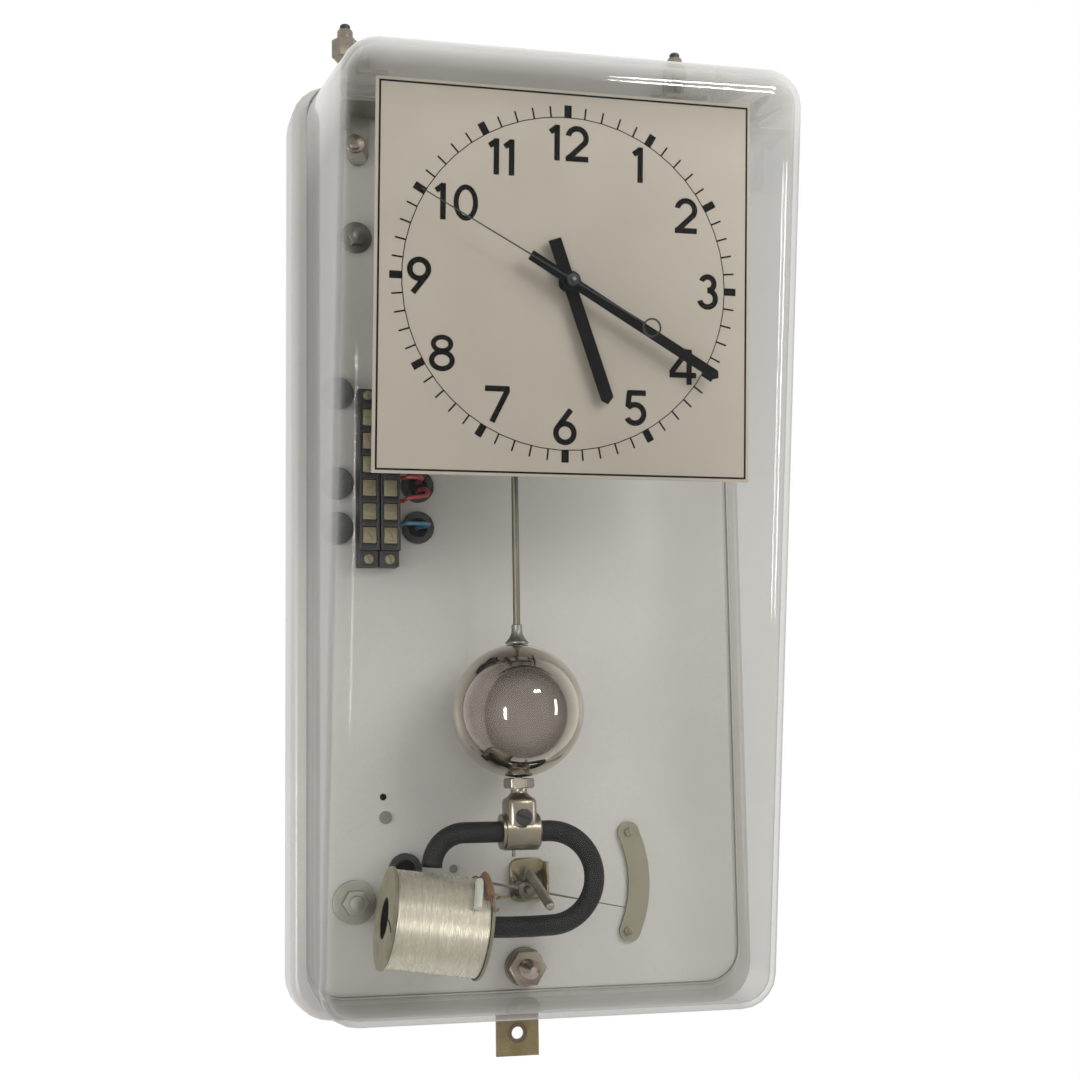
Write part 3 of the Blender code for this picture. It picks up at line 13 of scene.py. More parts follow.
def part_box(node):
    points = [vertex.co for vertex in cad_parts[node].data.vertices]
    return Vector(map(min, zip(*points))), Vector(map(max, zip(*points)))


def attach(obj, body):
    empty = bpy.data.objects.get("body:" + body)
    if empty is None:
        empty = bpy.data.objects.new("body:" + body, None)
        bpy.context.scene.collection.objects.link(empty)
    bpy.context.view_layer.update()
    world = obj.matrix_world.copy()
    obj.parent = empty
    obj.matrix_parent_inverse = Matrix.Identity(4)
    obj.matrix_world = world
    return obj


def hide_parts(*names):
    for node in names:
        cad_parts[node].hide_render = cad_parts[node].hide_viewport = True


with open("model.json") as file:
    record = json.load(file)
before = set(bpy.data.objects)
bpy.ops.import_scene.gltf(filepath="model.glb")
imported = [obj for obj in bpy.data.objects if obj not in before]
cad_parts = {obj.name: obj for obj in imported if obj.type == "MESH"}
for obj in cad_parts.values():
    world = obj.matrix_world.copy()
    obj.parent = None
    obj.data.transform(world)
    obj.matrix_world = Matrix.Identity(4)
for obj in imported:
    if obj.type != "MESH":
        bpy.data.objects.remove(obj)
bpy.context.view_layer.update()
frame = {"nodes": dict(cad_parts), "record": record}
nodes = frame["nodes"]

MM = 0.001
QUARTER = math.pi / 2
TURN = 2 * math.pi
# Vertices nearer than this are one
WELD = MM / 2000
# Octaves of each noise
NOISE_DETAIL = 3.0
# Steps between two points of a rounded route
ROUTE_STEPS = 10
# A driver slot's width as a share of its screw head's radius
DRIVER_SLOT = 0.22

# The photograph's camera
CAMERA_PLACE = (-0.25056, -1.02229, -0.13085)
CAMERA_AXES = ((0.96764, -0.01675, -0.25176), (-0.25186, -0.12444, -0.95973), (-0.01526, 0.99209, -0.12463))
CAMERA_LENS_MM = 61.667
SENSOR_MM = 36

# Places that the CAD gives
DIAL_FRAME = Matrix.Translation((0, -129 * MM, 118.4 * MM)) @ Matrix.Rotation(math.radians(95.5), 4, "X")
PANEL_FRONT = -30 * MM
# Where things on the panel begin, so that faces don't share a plane
PANEL_SEAT = -30.3 * MM
PENDULUM = Vector((-14, -69, 0)) * MM
BALL_Z = -98.2 * MM
BALL_RADIUS = 35.1 * MM
ROD_HOLE = 2.2 * MM
MAGNET_Z = -161.4 * MM
COIL_TILT = math.radians(8)
COIL_CENTRE = Vector((-60.23, -69, -207.36)) * MM
BODY_OF = {name: body for body, names in frame["record"]["behaviour"]["bodies"].items() for name in names}

# Read from the photograph: the rate scale's centre and radius in millimetres, and its half angle in degrees
SCALE_CENTRE = (-2.8, -191.2)
SCALE_RADIUS = 65.8
SCALE_REACH = 24
SCALE_FRONT = -31.9 * MM
# The cover's rear edge in millimetres: left, right, foot and head, and its corner radius
COVER_REAR = (-121, 121, -247.8, 254.2)
COVER_CORNER = 19
# Heights in metres between which the cover is painted lighter, and painted milky, as painted light from above
COVER_PAINTED_LIGHT = (0.185, 0.22)
COVER_PAINTED_MILK = (0.212, 0.24)

# The room's light on things, and how strongly the floor glows to the eye
ROOM_LIGHT = 0.44
FLOOR_GLOW = 1.02
FLOOR_GLOW_SHARE = 0.97
FLOOR_Z = -0.75
FLOOR_REACH = 30
# Name, place, width and height, watts, and whether it's a streak: a narrow lamp that only shows as a bright line
# in polished things, while the wide lamps only light
LAMPS = (
    ("key", (0.85, -1.05, 0.65), (0.9, 0.9), 13.5, False),
    ("fill", (-1.5, -1.6, 0.2), (1.8, 1.8), 1.5, False),
    ("side", (-1.7, -0.5, 0), (0.6, 1.4), 10, False),
    ("back", (0.9, 1.2, 1.4), (1.2, 1.2), 8, False),
    ("left_streak", (-0.95, -1.38, -0.27), (0.06, 0.5), 14, True),
    ("right_streak", (1.33, -1.02, 0), (0.1, 0.6), 7.5, True),
    ("top_streak", (0.58, -1.46, 0.76), (0.3, 0.06), 8, True),
)


def place_camera():
    """The camera at the photograph's place and angle."""
    lens = bpy.data.cameras.new("camera")
    lens.sensor_width = SENSOR_MM
    lens.lens = CAMERA_LENS_MM
    lens.clip_start = 0.01
    camera = bpy.data.objects.new("camera", lens)
    camera.matrix_world = Matrix.Translation(CAMERA_PLACE) @ Matrix(CAMERA_AXES).to_4x4()
    bpy.context.scene.collection.objects.link(camera)
    bpy.context.scene.camera = camera


# Materials

def linear(colour):
    """An sRGB hex colour as linear light with full alpha."""
    channels = [int(colour[i:i + 2], 16) / 255 for i in (0, 2, 4)]
    return [c / 12.92 if c <= 0.04045 else ((c + 0.055) / 1.055) ** 2.4 for c in channels] + [1.0]


def node(tree, kind, inputs=None, **settings):
    """Add a node with its settings, and its inputs as values or links."""
    made = tree.nodes.new(kind)
    for key, value in settings.items():
        setattr(made, key, value)
    for key, value in (inputs or {}).items():
        if isinstance(value, bpy.types.NodeSocket):
            tree.links.new(value, made.inputs[key])
        else:
            made.inputs[key].default_value = value
    return made


def empty_material(name):
    """A material with an empty node tree and its output."""
    made = bpy.data.materials.new(name)
    made.use_nodes = True
    made.node_tree.nodes.clear()
    return made, made.node_tree, node(made.node_tree, "ShaderNodeOutputMaterial")


def grain(tree, size_mm, stretch=(1, 1, 1), turn=(0, 0, 0)):
    """A noise on object coordinates whose marks are about size_mm across."""
    where = node(tree, "ShaderNodeTexCoord").outputs["Object"]
    aligned = node(tree, "ShaderNodeMapping", {"Vector": where, "Rotation": turn})
    mapped = node(tree, "ShaderNodeMapping", {"Vector": aligned.outputs[0], "Scale": stretch})
    noise = node(tree, "ShaderNodeTexNoise", {"Vector": mapped.outputs[0], "Scale": 1 / (size_mm * MM),
                                              "Detail": NOISE_DETAIL})
    return noise.outputs[0]


def spread(tree, value, low, high, start=0.3, end=0.7):
    """A value remapped and clamped to a range."""
    return node(tree, "ShaderNodeMapRange", {"Value": value, "From Min": start, "From Max": end,
                                             "To Min": low, "To Max": high}).outputs[0]


def blend(tree, factor, first, second):
    """Two colours mixed by a factor."""
    mixed = node(tree, "ShaderNodeMix", data_type="RGBA")
    for socket, value in ((mixed.inputs[0], factor), (mixed.inputs[6], first), (mixed.inputs[7], second)):
        if isinstance(value, bpy.types.NodeSocket):
            tree.links.new(value, socket)
        else:
            socket.default_value = value
    return mixed.outputs[2]


def surface(name, light, dark, size_mm, rough, bump_mm=0.0, cloud_mm=None, cloud=None, stretch=(1, 1, 1),
            turn=(0, 0, 0), **shader):
    """A finish whose colour, roughness and relief vary with a fine grain of real size and a coarser cloud.

    The cloud's size isn't a real mark's: it keeps large faces from looking flat.
    """
    made, tree, output = empty_material(name)
    fine = grain(tree, size_mm, stretch, turn)
    colour = blend(tree, spread(tree, fine, 0, 1), linear(light), linear(dark))
    if cloud:
        broad = grain(tree, cloud_mm)
        colour = blend(tree, spread(tree, broad, 0, 1, 0.4, 0.75), colour, linear(cloud))
    inputs = {"Base Color": colour, "Roughness": spread(tree, fine, rough[0], rough[1])}
    inputs.update({key.replace("_", " "): value for key, value in shader.items()})
    if bump_mm:
        relief = node(tree, "ShaderNodeBump", {"Height": fine, "Distance": bump_mm * MM, "Strength": 1.0})
        inputs["Normal"] = relief.outputs[0]
    shaded = node(tree, "ShaderNodeBsdfPrincipled", inputs)
    tree.links.new(shaded.outputs[0], output.inputs[0])
    return made


def clear_acrylic():
    """Moulded acrylic: clear face on, greyer towards its edges, and painted lighter and milky along its top as
    painted light from above.
    """
    made, tree, output = empty_material("moulded_clear_acrylic")
    facing = node(tree, "ShaderNodeLayerWeight", {"Blend": 0.5}).outputs["Facing"]
    mirror = node(tree, "ShaderNodeMath", {0: facing, 1: 2.2}, operation="POWER").outputs[0]
    clear = node(tree, "ShaderNodeBsdfTransparent", {"Color": linear("FEFEFD")})
    where = node(tree, "ShaderNodeTexCoord").outputs["Object"]
    height = node(tree, "ShaderNodeSeparateXYZ", {0: where}).outputs["Z"]
    # Painted light: towards the top the haze and the mirror's tint are painted lighter, the haze milkier and the
    # mirror share stronger, standing in for light that comes in from above
    top = spread(tree, height, 0, 1, *COVER_PAINTED_LIGHT)
    painted_top_milk = spread(tree, height, 0, 0.28, *COVER_PAINTED_MILK)
    lift = spread(tree, height, 0.008, 0.22, *COVER_PAINTED_MILK)
    share = node(tree, "ShaderNodeMath", {0: mirror, 1: 0.95, 2: lift}, operation="MULTIPLY_ADD").outputs[0]
    wipe = spread(tree, grain(tree, 55, (1, 1, 0.35)), 0.001, 0.003)
    smears_and_painted_milk = node(tree, "ShaderNodeMath", {0: wipe, 1: painted_top_milk}, operation="ADD").outputs[0]
    haze_with_painted_top_light = node(tree, "ShaderNodeBsdfDiffuse", {"Color": blend(tree, top, linear("DAD9D7"), linear("F2F1EF"))})
    body = node(tree, "ShaderNodeMixShader", {0: smears_and_painted_milk, 1: clear.outputs[0], 2: haze_with_painted_top_light.outputs[0]})
    gloss_tint_with_painted_top_light = blend(tree, top, linear("BFBEBC"), linear("F4F3F1"))
    mirrored = node(tree, "ShaderNodeBsdfGlossy", {"Color": gloss_tint_with_painted_top_light, "Roughness": 0.05})
    gloss = node(tree, "ShaderNodeMixShader", {0: 0.25, 1: mirrored.outputs[0], 2: haze_with_painted_top_light.outputs[0]})
    both = node(tree, "ShaderNodeMixShader", {0: share, 1: body.outputs[0], 2: gloss.outputs[0]})
    tree.links.new(both.outputs[0], output.inputs[0])
    return made


def mirror_nickel():
    """Polished nickel: painted dull and warm face on as a painted reflection of a dim room, and brighter round
    its rim.
    """
    made, tree, output = empty_material("mirror_nickel_plate")
    facing = node(tree, "ShaderNodeLayerWeight", {"Blend": 0.5}).outputs["Facing"]
    rim = spread(tree, facing, 0, 1, 0.3, 0.6)
    freckle = spread(tree, grain(tree, 9), 0, 1)
    # Painted reflection: the face-on colour is darkened to stand in for the dim room that the ball mirrors
    face = blend(tree, freckle, linear("867E77"), linear("7E766F"))
    colour = blend(tree, rim, face, linear("C2BBAF"))
    shaded = node(tree, "ShaderNodeBsdfPrincipled", {"Base Color": colour, "Roughness": 0.06, "Metallic": 1.0})
    tree.links.new(shaded.outputs[0], output.inputs[0])
    return made


def seen_by_eye(tree):
    """One for rays that show a surface straight, mirrored or through clear things, and nought for the rest."""
    path = node(tree, "ShaderNodeLightPath").outputs
    seen = path["Is Camera Ray"]
    for also in ("Is Glossy Ray", "Is Transmission Ray"):
        seen = node(tree, "ShaderNodeMath", {0: seen, 1: path[also]}, operation="MAXIMUM").outputs[0]
    return seen


# Stove enamel, sprayed and baked: an even satin white-grey with a faint orange peel
ENAMEL = surface("white_stove_enamel", "D1CECB", "CCC9C6", 1.6, (0.34, 0.44), 0.008, 70, "C8C5C2",
                 Coat_Weight=0.15, Coat_Roughness=0.2)
# Clear acrylic: read by the eye from its grey bends, its bright lines and its top, which is painted lighter and
# milky as painted light
ACRYLIC = clear_acrylic()
# Cream cellulose lacquer on a metal dial: nearly matt, faintly speckled by age
DIAL_LACQUER = surface("cream_dial_lacquer", "BCB2A5", "B8AEA1", 0.7, (0.42, 0.52), 0.004, 45, "B4AB9D",
                       Coat_Weight=0.1, Coat_Roughness=0.3)
# Screen-printed ink: dense black with a dull edge
DIAL_INK = surface("black_dial_ink", "0E0E0E", "131313", 0.5, (0.5, 0.65), 0.003, Specular_IOR_Level=0.04)
# Sprayed charcoal lacquer on the hands: nearly black, without a shine
HAND_LACQUER = surface("charcoal_hand_lacquer", "0F1011", "0C0D0E", 0.6, (0.4, 0.55), 0.004,
                       Specular_IOR_Level=0.04)
# Blued lacquer on the thin seconds hand: a cold dark grey
SECONDS_LACQUER = surface("blued_seconds_lacquer", "26343A", "1D292E", 0.5, (0.35, 0.5), 0.003,
                          Specular_IOR_Level=0.3)
# Satin nickel plate over turned brass: warm grey with fine lathe marks
SATIN_NICKEL = surface("satin_nickel_plate", "968E81", "7E776A", 0.5, (0.22, 0.38), 0.004, 12, "716A5D",
                       (1, 1, 6), Metallic=1.0)
# Mirror nickel: the pinkish grey of an old polished ball, darkened face on as a painted reflection of a dim room,
# with a few dull freckles
MIRROR_NICKEL = mirror_nickel()
# Blackened steel of the pendulum rod: olive grey, drawn lengthways
DARK_STEEL = surface("blackened_rod_steel", "73705F", "5C594A", 0.6, (0.35, 0.5), 0.004, 9, "5E5B56",
                     (1, 1, 5), Metallic=0.9)
# Coppered screw heads, worn back to the steel
COPPERED = surface("coppered_steel", "B0A29A", "94857C", 0.5, (0.22, 0.36), 0.004, 6, "84756B",
                   Metallic=1.0)
# Zinc plate on the brackets and the lower fixing: pale, soft grey
ZINC = surface("zinc_plate", "9D9A91", "8A877D", 0.6, (0.38, 0.5), 0.005, 9, "8E8B80", Metallic=0.6)
# Tinned brass of the clamp blocks: a pale dull yellow
TINNED_BRASS = surface("tinned_brass", "989077", "877E64", 0.7, (0.38, 0.52), 0.005, 7, "8D846B",
                       Metallic=0.35)
# Plain drawn steel, a little tarnished
STEEL = surface("plain_steel", "8A8882", "6E6C66", 0.6, (0.3, 0.48), 0.005, 9, "5F5C55",
                (1, 1, 5), Metallic=1.0)
# Sawn and turned brass: greenish yellow, with tool marks across
BRASS = surface("turned_brass", "918A70", "7B745C", 0.5, (0.28, 0.42), 0.004, 15, "746D55",
                (5, 1, 1), Metallic=0.9)
# Passivated brass sheet: dull, brownish yellow
DULL_BRASS = surface("dull_passivated_brass", "83765A", "726548", 0.9, (0.42, 0.6), 0.008, 8, "6A5E42",
                     (1, 1, 3), Metallic=0.75)
# Moulded black bakelite: fine pores, low sheen
BAKELITE = surface("black_bakelite", "202021", "171717", 0.4, (0.35, 0.5), 0.006)
# Grey rubber: matt, dusty
RUBBER = surface("dark_grey_rubber", "3A3C3D", "323434", 0.9, (0.7, 0.85), 0.015, 6, "414343")
# The same rubber, newer and blacker, in the bushes that wires pass through
BLACK_RUBBER = surface("black_rubber", "1F2122", "191B1B", 0.9, (0.6, 0.75), 0.015, 6, "262828")
# Grey fibre plugs: matt and even; the same grey also draws the painted shade line along the cover's seat
GREY_PLUG_AND_SEAT_SHADE = surface("grey_fibre_plug_and_seat_shade", "8C8B82", "7F7E75", 0.9, (0.6, 0.75), 0.01, 6, "86857B")
# Matt black lacquer on the bent magnet, with a coarse cast skin below it
MAGNET_LACQUER = surface("black_magnet_lacquer", "1C1C1D", "171717", 1.1, (0.5, 0.62), 0.008, 14, "242423",
                         Specular_IOR_Level=0.18)
# Bonded paper board: buff with fibres
PAXOLIN = surface("bonded_paper_board", "837E68", "746F5A", 0.8, (0.42, 0.58), 0.01, 9, "908B78", (1, 4, 1))
# Enamelled copper wire with a pale silvery lacquer; bands along the winding show its layers
WINDING = surface("fine_enamelled_wire", "DDD8C9", "C6C1B0", 1.2, (0.24, 0.32), 0.0, 30, "CBC6B6",
                  (1, 0.08, 0.08), (0, -COIL_TILT, 0), Metallic=0.45)
# Plastic insulation: plain colours with a soft shine
PVC_RED = surface("red_pvc", "A63A44", "96323C", 0.8, (0.35, 0.5), 0.004)
PVC_BLUE = surface("blue_pvc", "3B7C9C", "306C8C", 0.8, (0.35, 0.5), 0.004)
# Cotton braid over a fine lead: buff, without any shine
COTTON = surface("cotton_lead", "B5A78C", "96876B", 0.5, (0.75, 0.9), 0.03)
# A darker brown ring round the tab's hole
BROWN_RING = surface("dark_brown_hole_ring", "6A5440", "5A4634", 0.8, (0.5, 0.65), 0.006)
# Fibre sleeves beside the coil: chalky white, and a reddish brown
WHITE_SLEEVE = surface("white_fibre_sleeve", "E3E2D8", "D2D1C5", 0.6, (0.5, 0.65), 0.01)
BROWN_LEAD = surface("brown_lead", "8C6A52", "76553F", 0.6, (0.45, 0.6), 0.006)
# Ivory celluloid: warm grey, faintly streaked
IVORY = surface("ivory_celluloid", "989480", "8E8A76", 1.2, (0.4, 0.52), 0.004, 18, "898571", (1, 1, 4))
# Painted shade: black put in holes, in the coil's bore and at its flanges, where only shade falls
PAINTED_SHADE = surface("painted_recess_shade", "0E0E0E", "131312", 1.0, (0.8, 0.95), Specular_IOR_Level=0.1)
# Faint grey marks on the rate scale
SCALE_INK = surface("faint_scale_ink", "84806D", "8B8774", 0.5, (0.5, 0.6))

FINISHES = {
    "white_enamel": ENAMEL, "clear_acrylic": ACRYLIC, "dial_cream": DIAL_LACQUER, "hand_black": HAND_LACQUER,
    "nickel": SATIN_NICKEL, "polished_nickel": MIRROR_NICKEL, "steel": STEEL, "brass": BRASS,
    "dull_brass": DULL_BRASS, "black_plastic": BAKELITE, "grey_rubber": RUBBER, "magnet_black": MAGNET_LACQUER,
    "paxolin": PAXOLIN, "winding": WINDING, "wire_red": PVC_RED, "wire_blue": PVC_BLUE, "pale_lead": COTTON,
    "ivory": IVORY,
}


def dress_nodes():
    """Give each CAD node the finish of its material slot."""
    for row in frame["record"]["subparts"]:
        mesh = nodes[row["node"]].data
        mesh.materials.clear()
        mesh.materials.append(FINISHES[row["material_slot"]])
        for face in mesh.polygons:
            face.material_index = 0
    nodes["seconds_hand"].data.materials[0] = SECONDS_LACQUER
    nodes["pendulum_rod"].data.materials[0] = DARK_STEEL
    for name in ("wire_bush_upper", "wire_bush_lower", "lead_bush"):
        nodes[name].data.materials[0] = BLACK_RUBBER
    for name in ("top_bracket_left", "top_bracket_right"):
        nodes[name].data.materials[0] = ZINC


# Shapes

def mm(*points):
    """Points of a profile in metres, from (radius, height) in millimetres."""
    return [(radius * MM, height * MM) for radius, height in points]


def piece(name, shape, look, body="case", *, place=None, smooth=35, replaces=()):
    """A finished piece from a bmesh: placed in its mesh, smoothed up to an angle, riding on a body."""
    if place is not None:
        bmesh.ops.transform(shape, matrix=place, verts=shape.verts)
    bmesh.ops.remove_doubles(shape, verts=shape.verts, dist=WELD)
    bmesh.ops.recalc_face_normals(shape, faces=shape.faces)
    mesh = bpy.data.meshes.new(name)
    shape.to_mesh(mesh)
    shape.free()
    mesh.shade_smooth()
    mesh.set_sharp_from_angle(angle=math.radians(smooth))
    mesh.materials.append(look)
    made = bpy.data.objects.new(name, mesh)
    bpy.context.scene.collection.objects.link(made)
    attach(made, body)
    if replaces:
        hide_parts(*replaces)
    return made


def only_verts(found):
    """The vertices among an operator's results."""
    return [g for g in found if isinstance(g, bmesh.types.BMVert)]


def once(found):
    """Each element once, in the order found: a set's order would change from run to run."""
    return list(dict.fromkeys(found))


def edges_of(verts):
    """The edges that meet these vertices."""
    return once(e for v in verts for e in v.link_edges)


def linked(verts):
    """These vertices and all that edges join to them."""
    found = dict.fromkeys(verts)
    waiting = list(found)
    while waiting:
        for edge in waiting.pop().link_edges:
            for v in edge.verts:
                if v not in found:
                    found[v] = None
                    waiting.append(v)
    return list(found)


def bevelled(shape, verts, edges, offset):
    """Round some edges of a form, and give the vertices that the form then has."""
    out = bmesh.ops.bevel(shape, geom=edges, offset=offset, segments=3, profile=0.5, affect="EDGES",
                          clamp_overlap=True, material=-1)
    return once([v for v in verts if v.is_valid] + out["verts"])


def disc(shape, radius, low, high, steps, place=None, bevel=0.0):
    """Add a closed round or many-sided bar along Z, its top rim optionally bevelled."""
    verts = bmesh.ops.create_cone(shape, cap_ends=True, segments=steps, radius1=radius, radius2=radius,
                                  depth=high - low)["verts"]
    bmesh.ops.translate(shape, vec=(0, 0, (low + high) / 2), verts=verts)
    if bevel:
        rim = [e for e in edges_of(verts) if all(v.co.z > high - WELD for v in e.verts)]
        verts = bevelled(shape, verts, rim, bevel)
    if place is not None:
        bmesh.ops.transform(shape, matrix=place, verts=verts)


def block(shape, size, centre=(0, 0, 0), bevel=0.0, place=None):
    """Add a closed box, its edges optionally rounded."""
    verts = bmesh.ops.create_cube(shape, size=1)["verts"]
    bmesh.ops.scale(shape, vec=size, verts=verts)
    bmesh.ops.translate(shape, vec=centre, verts=verts)
    if bevel:
        verts = bevelled(shape, verts, edges_of(verts), bevel)
    if place is not None:
        bmesh.ops.transform(shape, matrix=place, verts=verts)


def turned(shape, profile, steps, place):
    """Add a turned form from (radius, height) points: from axis to axis, or a closed ring off the axis."""
    points = [shape.verts.new((radius, 0, height)) for radius, height in profile]
    pairs = list(zip(points, points[1:])) + ([(points[-1], points[0])] if profile[0][0] > 0 else [])
    edges = [shape.edges.new(pair) for pair in pairs]
    out = bmesh.ops.spin(shape, geom=points + edges, cent=(0, 0, 0), axis=(0, 0, 1), dvec=(0, 0, 0),
                         angle=TURN, steps=steps, use_merge=True, use_duplicate=False)
    joined = linked(only_verts(out["geom_last"]) + points)
    bmesh.ops.remove_doubles(shape, verts=joined, dist=WELD)
    bmesh.ops.transform(shape, matrix=place, verts=[v for v in joined if v.is_valid])


def sweep(shape, path, radius, sides):
    """Add a round bar along points, with closed ends."""
    points = [Vector(p) for p in path]
    up = None
    rings = []
    for i, point in enumerate(points):
        ahead = (points[min(i + 1, len(points) - 1)] - points[max(i - 1, 0)]).normalized()
        if up is None:
            up = ahead.orthogonal()
        up = (up - ahead * up.dot(ahead)).normalized()
        side = ahead.cross(up)
        ring = []
        for k in range(sides):
            angle = TURN * k / sides
            ring.append(shape.verts.new(point + (up * math.cos(angle) + side * math.sin(angle)) * radius))
        rings.append(ring)
    for first, second in zip(rings, rings[1:]):
        for k in range(sides):
            shape.faces.new((first[k], first[(k + 1) % sides], second[(k + 1) % sides], second[k]))
    shape.faces.new(rings[0])
    shape.faces.new(rings[-1])


def route(points):
    """A rounded route through chosen points in millimetres, by a Catmull-Rom curve."""
    spots = [Vector(p) * MM for p in points]
    padded = [2 * spots[0] - spots[1]] + spots + [2 * spots[-1] - spots[-2]]
    made = []
    for a, b, c, d in zip(padded, padded[1:], padded[2:], padded[3:]):
        for i in range(ROUTE_STEPS):
            t = i / ROUTE_STEPS
            made.append(0.5 * (2 * b + (c - a) * t + (2 * a - 5 * b + 4 * c - d) * t * t
                               + (3 * b - a - 3 * c + d) * t ** 3))
    made.append(spots[-1])
    return made


def skin(name, smooth=35):
    """A welded, smoothly shaded copy of a CAD node, shown in its place."""
    shape = bmesh.new()
    shape.from_mesh(nodes[name].data)
    look = nodes[name].data.materials[0]
    made = piece(name + "_skin", shape, look, BODY_OF[name], smooth=smooth,
                 replaces=(name,))
    even = made.modifiers.new("even_normals", "WEIGHTED_NORMAL")
    even.keep_sharp = True
    even.weight = 100


# Dial print, in the dial's own millimetres: the ink's two faces, a numeral's stroke and half height

PRINT_LOW = -0.02
PRINT_HIGH = 0.05
STROKE = 2.95
NUMERAL_TOP = 9.3
# Degrees of a printed arc to a step
ARC_STEP = 7


def print_bar(shape, start, end, width, place):
    """A printed bar between two points of the dial."""
    a, b = Vector(start), Vector(end)
    run = b - a
    turn = Matrix.Rotation(math.atan2(run.y, run.x), 4, "Z")
    middle = Matrix.Translation(((a.x + b.x) / 2, (a.y + b.y) / 2, (PRINT_LOW + PRINT_HIGH) / 2))
    block(shape, (run.length, width, PRINT_HIGH - PRINT_LOW), place=place @ middle @ turn)


def print_arc(shape, centre, radius, start, end, width, place):
    """A printed arc of even width, from one angle to another in degrees."""
    low, high = radius - width / 2, radius + width / 2
    angle = math.radians(start)
    ends = [shape.verts.new((r * math.cos(angle), r * math.sin(angle), PRINT_LOW)) for r in (low, high)]
    edge = shape.edges.new(ends)
    steps = max(4, int(abs(end - start) / ARC_STEP))
    out = bmesh.ops.spin(shape, geom=ends + [edge], cent=(0, 0, 0), axis=(0, 0, 1), dvec=(0, 0, 0),
                         angle=math.radians(end - start), steps=steps, use_merge=abs(end - start) >= 360,
                         use_duplicate=False)
    flat = linked(ends)
    faces = once(f for v in flat for f in v.link_faces)
    grown = bmesh.ops.extrude_face_region(shape, geom=faces, use_keep_orig=True)
    raised = only_verts(grown["geom"])
    bmesh.ops.translate(shape, vec=(0, 0, PRINT_HIGH - PRINT_LOW), verts=raised)
    bmesh.ops.transform(shape, matrix=place @ Matrix.Translation((*centre, 0)), verts=flat + raised)


def print_ring(shape, centre, outer, inner, place):
    """A printed oval ring from its outer and inner half sizes."""
    made = []
    for half in (outer, inner):
        loop = bmesh.ops.create_circle(shape, cap_ends=False, radius=1, segments=40)["verts"]
        bmesh.ops.scale(shape, vec=(half[0], half[1], 1), verts=loop)
        made += loop
    faces = bmesh.ops.bridge_loops(shape, edges=edges_of(made))["faces"]
    bmesh.ops.translate(shape, vec=(0, 0, PRINT_LOW), verts=made)
    grown = bmesh.ops.extrude_face_region(shape, geom=faces, use_keep_orig=True)
    raised = only_verts(grown["geom"])
    bmesh.ops.translate(shape, vec=(0, 0, PRINT_HIGH - PRINT_LOW), verts=raised)
    bmesh.ops.transform(shape, matrix=place @ Matrix.Translation((*centre, 0)), verts=made + raised)


# Each figure is a list of strokes: a bar's two ends, an arc's centre, radius and angles, or an oval ring
TOP = NUMERAL_TOP - STROKE / 2
FIGURES = {
    "0": [("ring", (0, 0), (6.4, NUMERAL_TOP), (3.7, 6.6))],
    "1": [("bar", (0.6, NUMERAL_TOP), (0.6, -NUMERAL_TOP)), ("bar", (-3.1, 5.3), (0.9, 8.3))],
    "2": [("arc", (0, 3.1), 4.8, 170, -38), ("bar", (4.1, 0.6), (-4.9, -8.0)),
          ("bar", (-6.1, -TOP), (6.1, -TOP))],
    "3": [("arc", (-0.3, 4.35), 3.55, 160, -92), ("arc", (-0.3, -3.5), 4.4, 92, -165)],
    "4": [("bar", (2.9, 9.0), (-6.6, -3.4)), ("bar", (-7.4, -4.3), (7.3, -4.3)),
          ("bar", (3.4, NUMERAL_TOP), (3.4, -NUMERAL_TOP))],
    "5": [("bar", (-4.6, TOP), (5.3, TOP)), ("bar", (-3.6, 8.6), (-4.4, 0.4)),
          ("arc", (-0.6, -3.1), 4.8, 142, -152)],
    "6": [("arc", (0, -3.1), 4.8, 0, 360), ("bar", (3.1, 9.0), (-4.0, -0.4))],
    "7": [("bar", (-6.4, TOP), (6.5, TOP)), ("bar", (5.7, 7.6), (-2.6, -9.2))],
    "8": [("ring", (0, -3.7), (6.7, 5.6), (3.9, 2.9)), ("ring", (0, 4.6), (5.8, 4.7), (3.2, 2.2))],
    "9": [("arc", (0, 3.1), 4.8, 0, 360), ("bar", (-3.1, -9.0), (4.0, 0.4))],
}
# Centre of each hour's numeral on the dial, and how far its two figures stand from it
HOUR_PLACES = {12: (0.3, 72.6), 1: (38.6, 64.0), 2: (64.5, 38.9), 3: (77.0, -0.5), 4: (63.4, -40.5),
               5: (37.9, -62.9), 6: (-0.2, -74.0), 7: (-36.1, -63.4), 8: (-64.9, -38.6), 9: (-77.1, 0.3),
               10: (-58.6, 38.5), 11: (-33.7, 63.2)}
DIGIT_STEPS = {12: (-6.6, 4.7), 10: (-7.2, 5.2), 11: (-4.6, 3.4)}
MINUTE_CIRCLE = 86.0
MARK_FOOT = 85.7
HOUR_MARK = (92.3, 3.9)
MINUTE_MARK = (91.7, 0.9)
BORDER = 98.0


def print_figure(shape, figure, place):
    """One numeral from its strokes."""
    for stroke in FIGURES[figure]:
        if stroke[0] == "bar":
            print_bar(shape, stroke[1], stroke[2], STROKE, place)
        elif stroke[0] == "arc":
            print_arc(shape, stroke[1], stroke[2], stroke[3], stroke[4], STROKE, place)
        else:
            print_ring(shape, stroke[1], stroke[2], stroke[3], place)


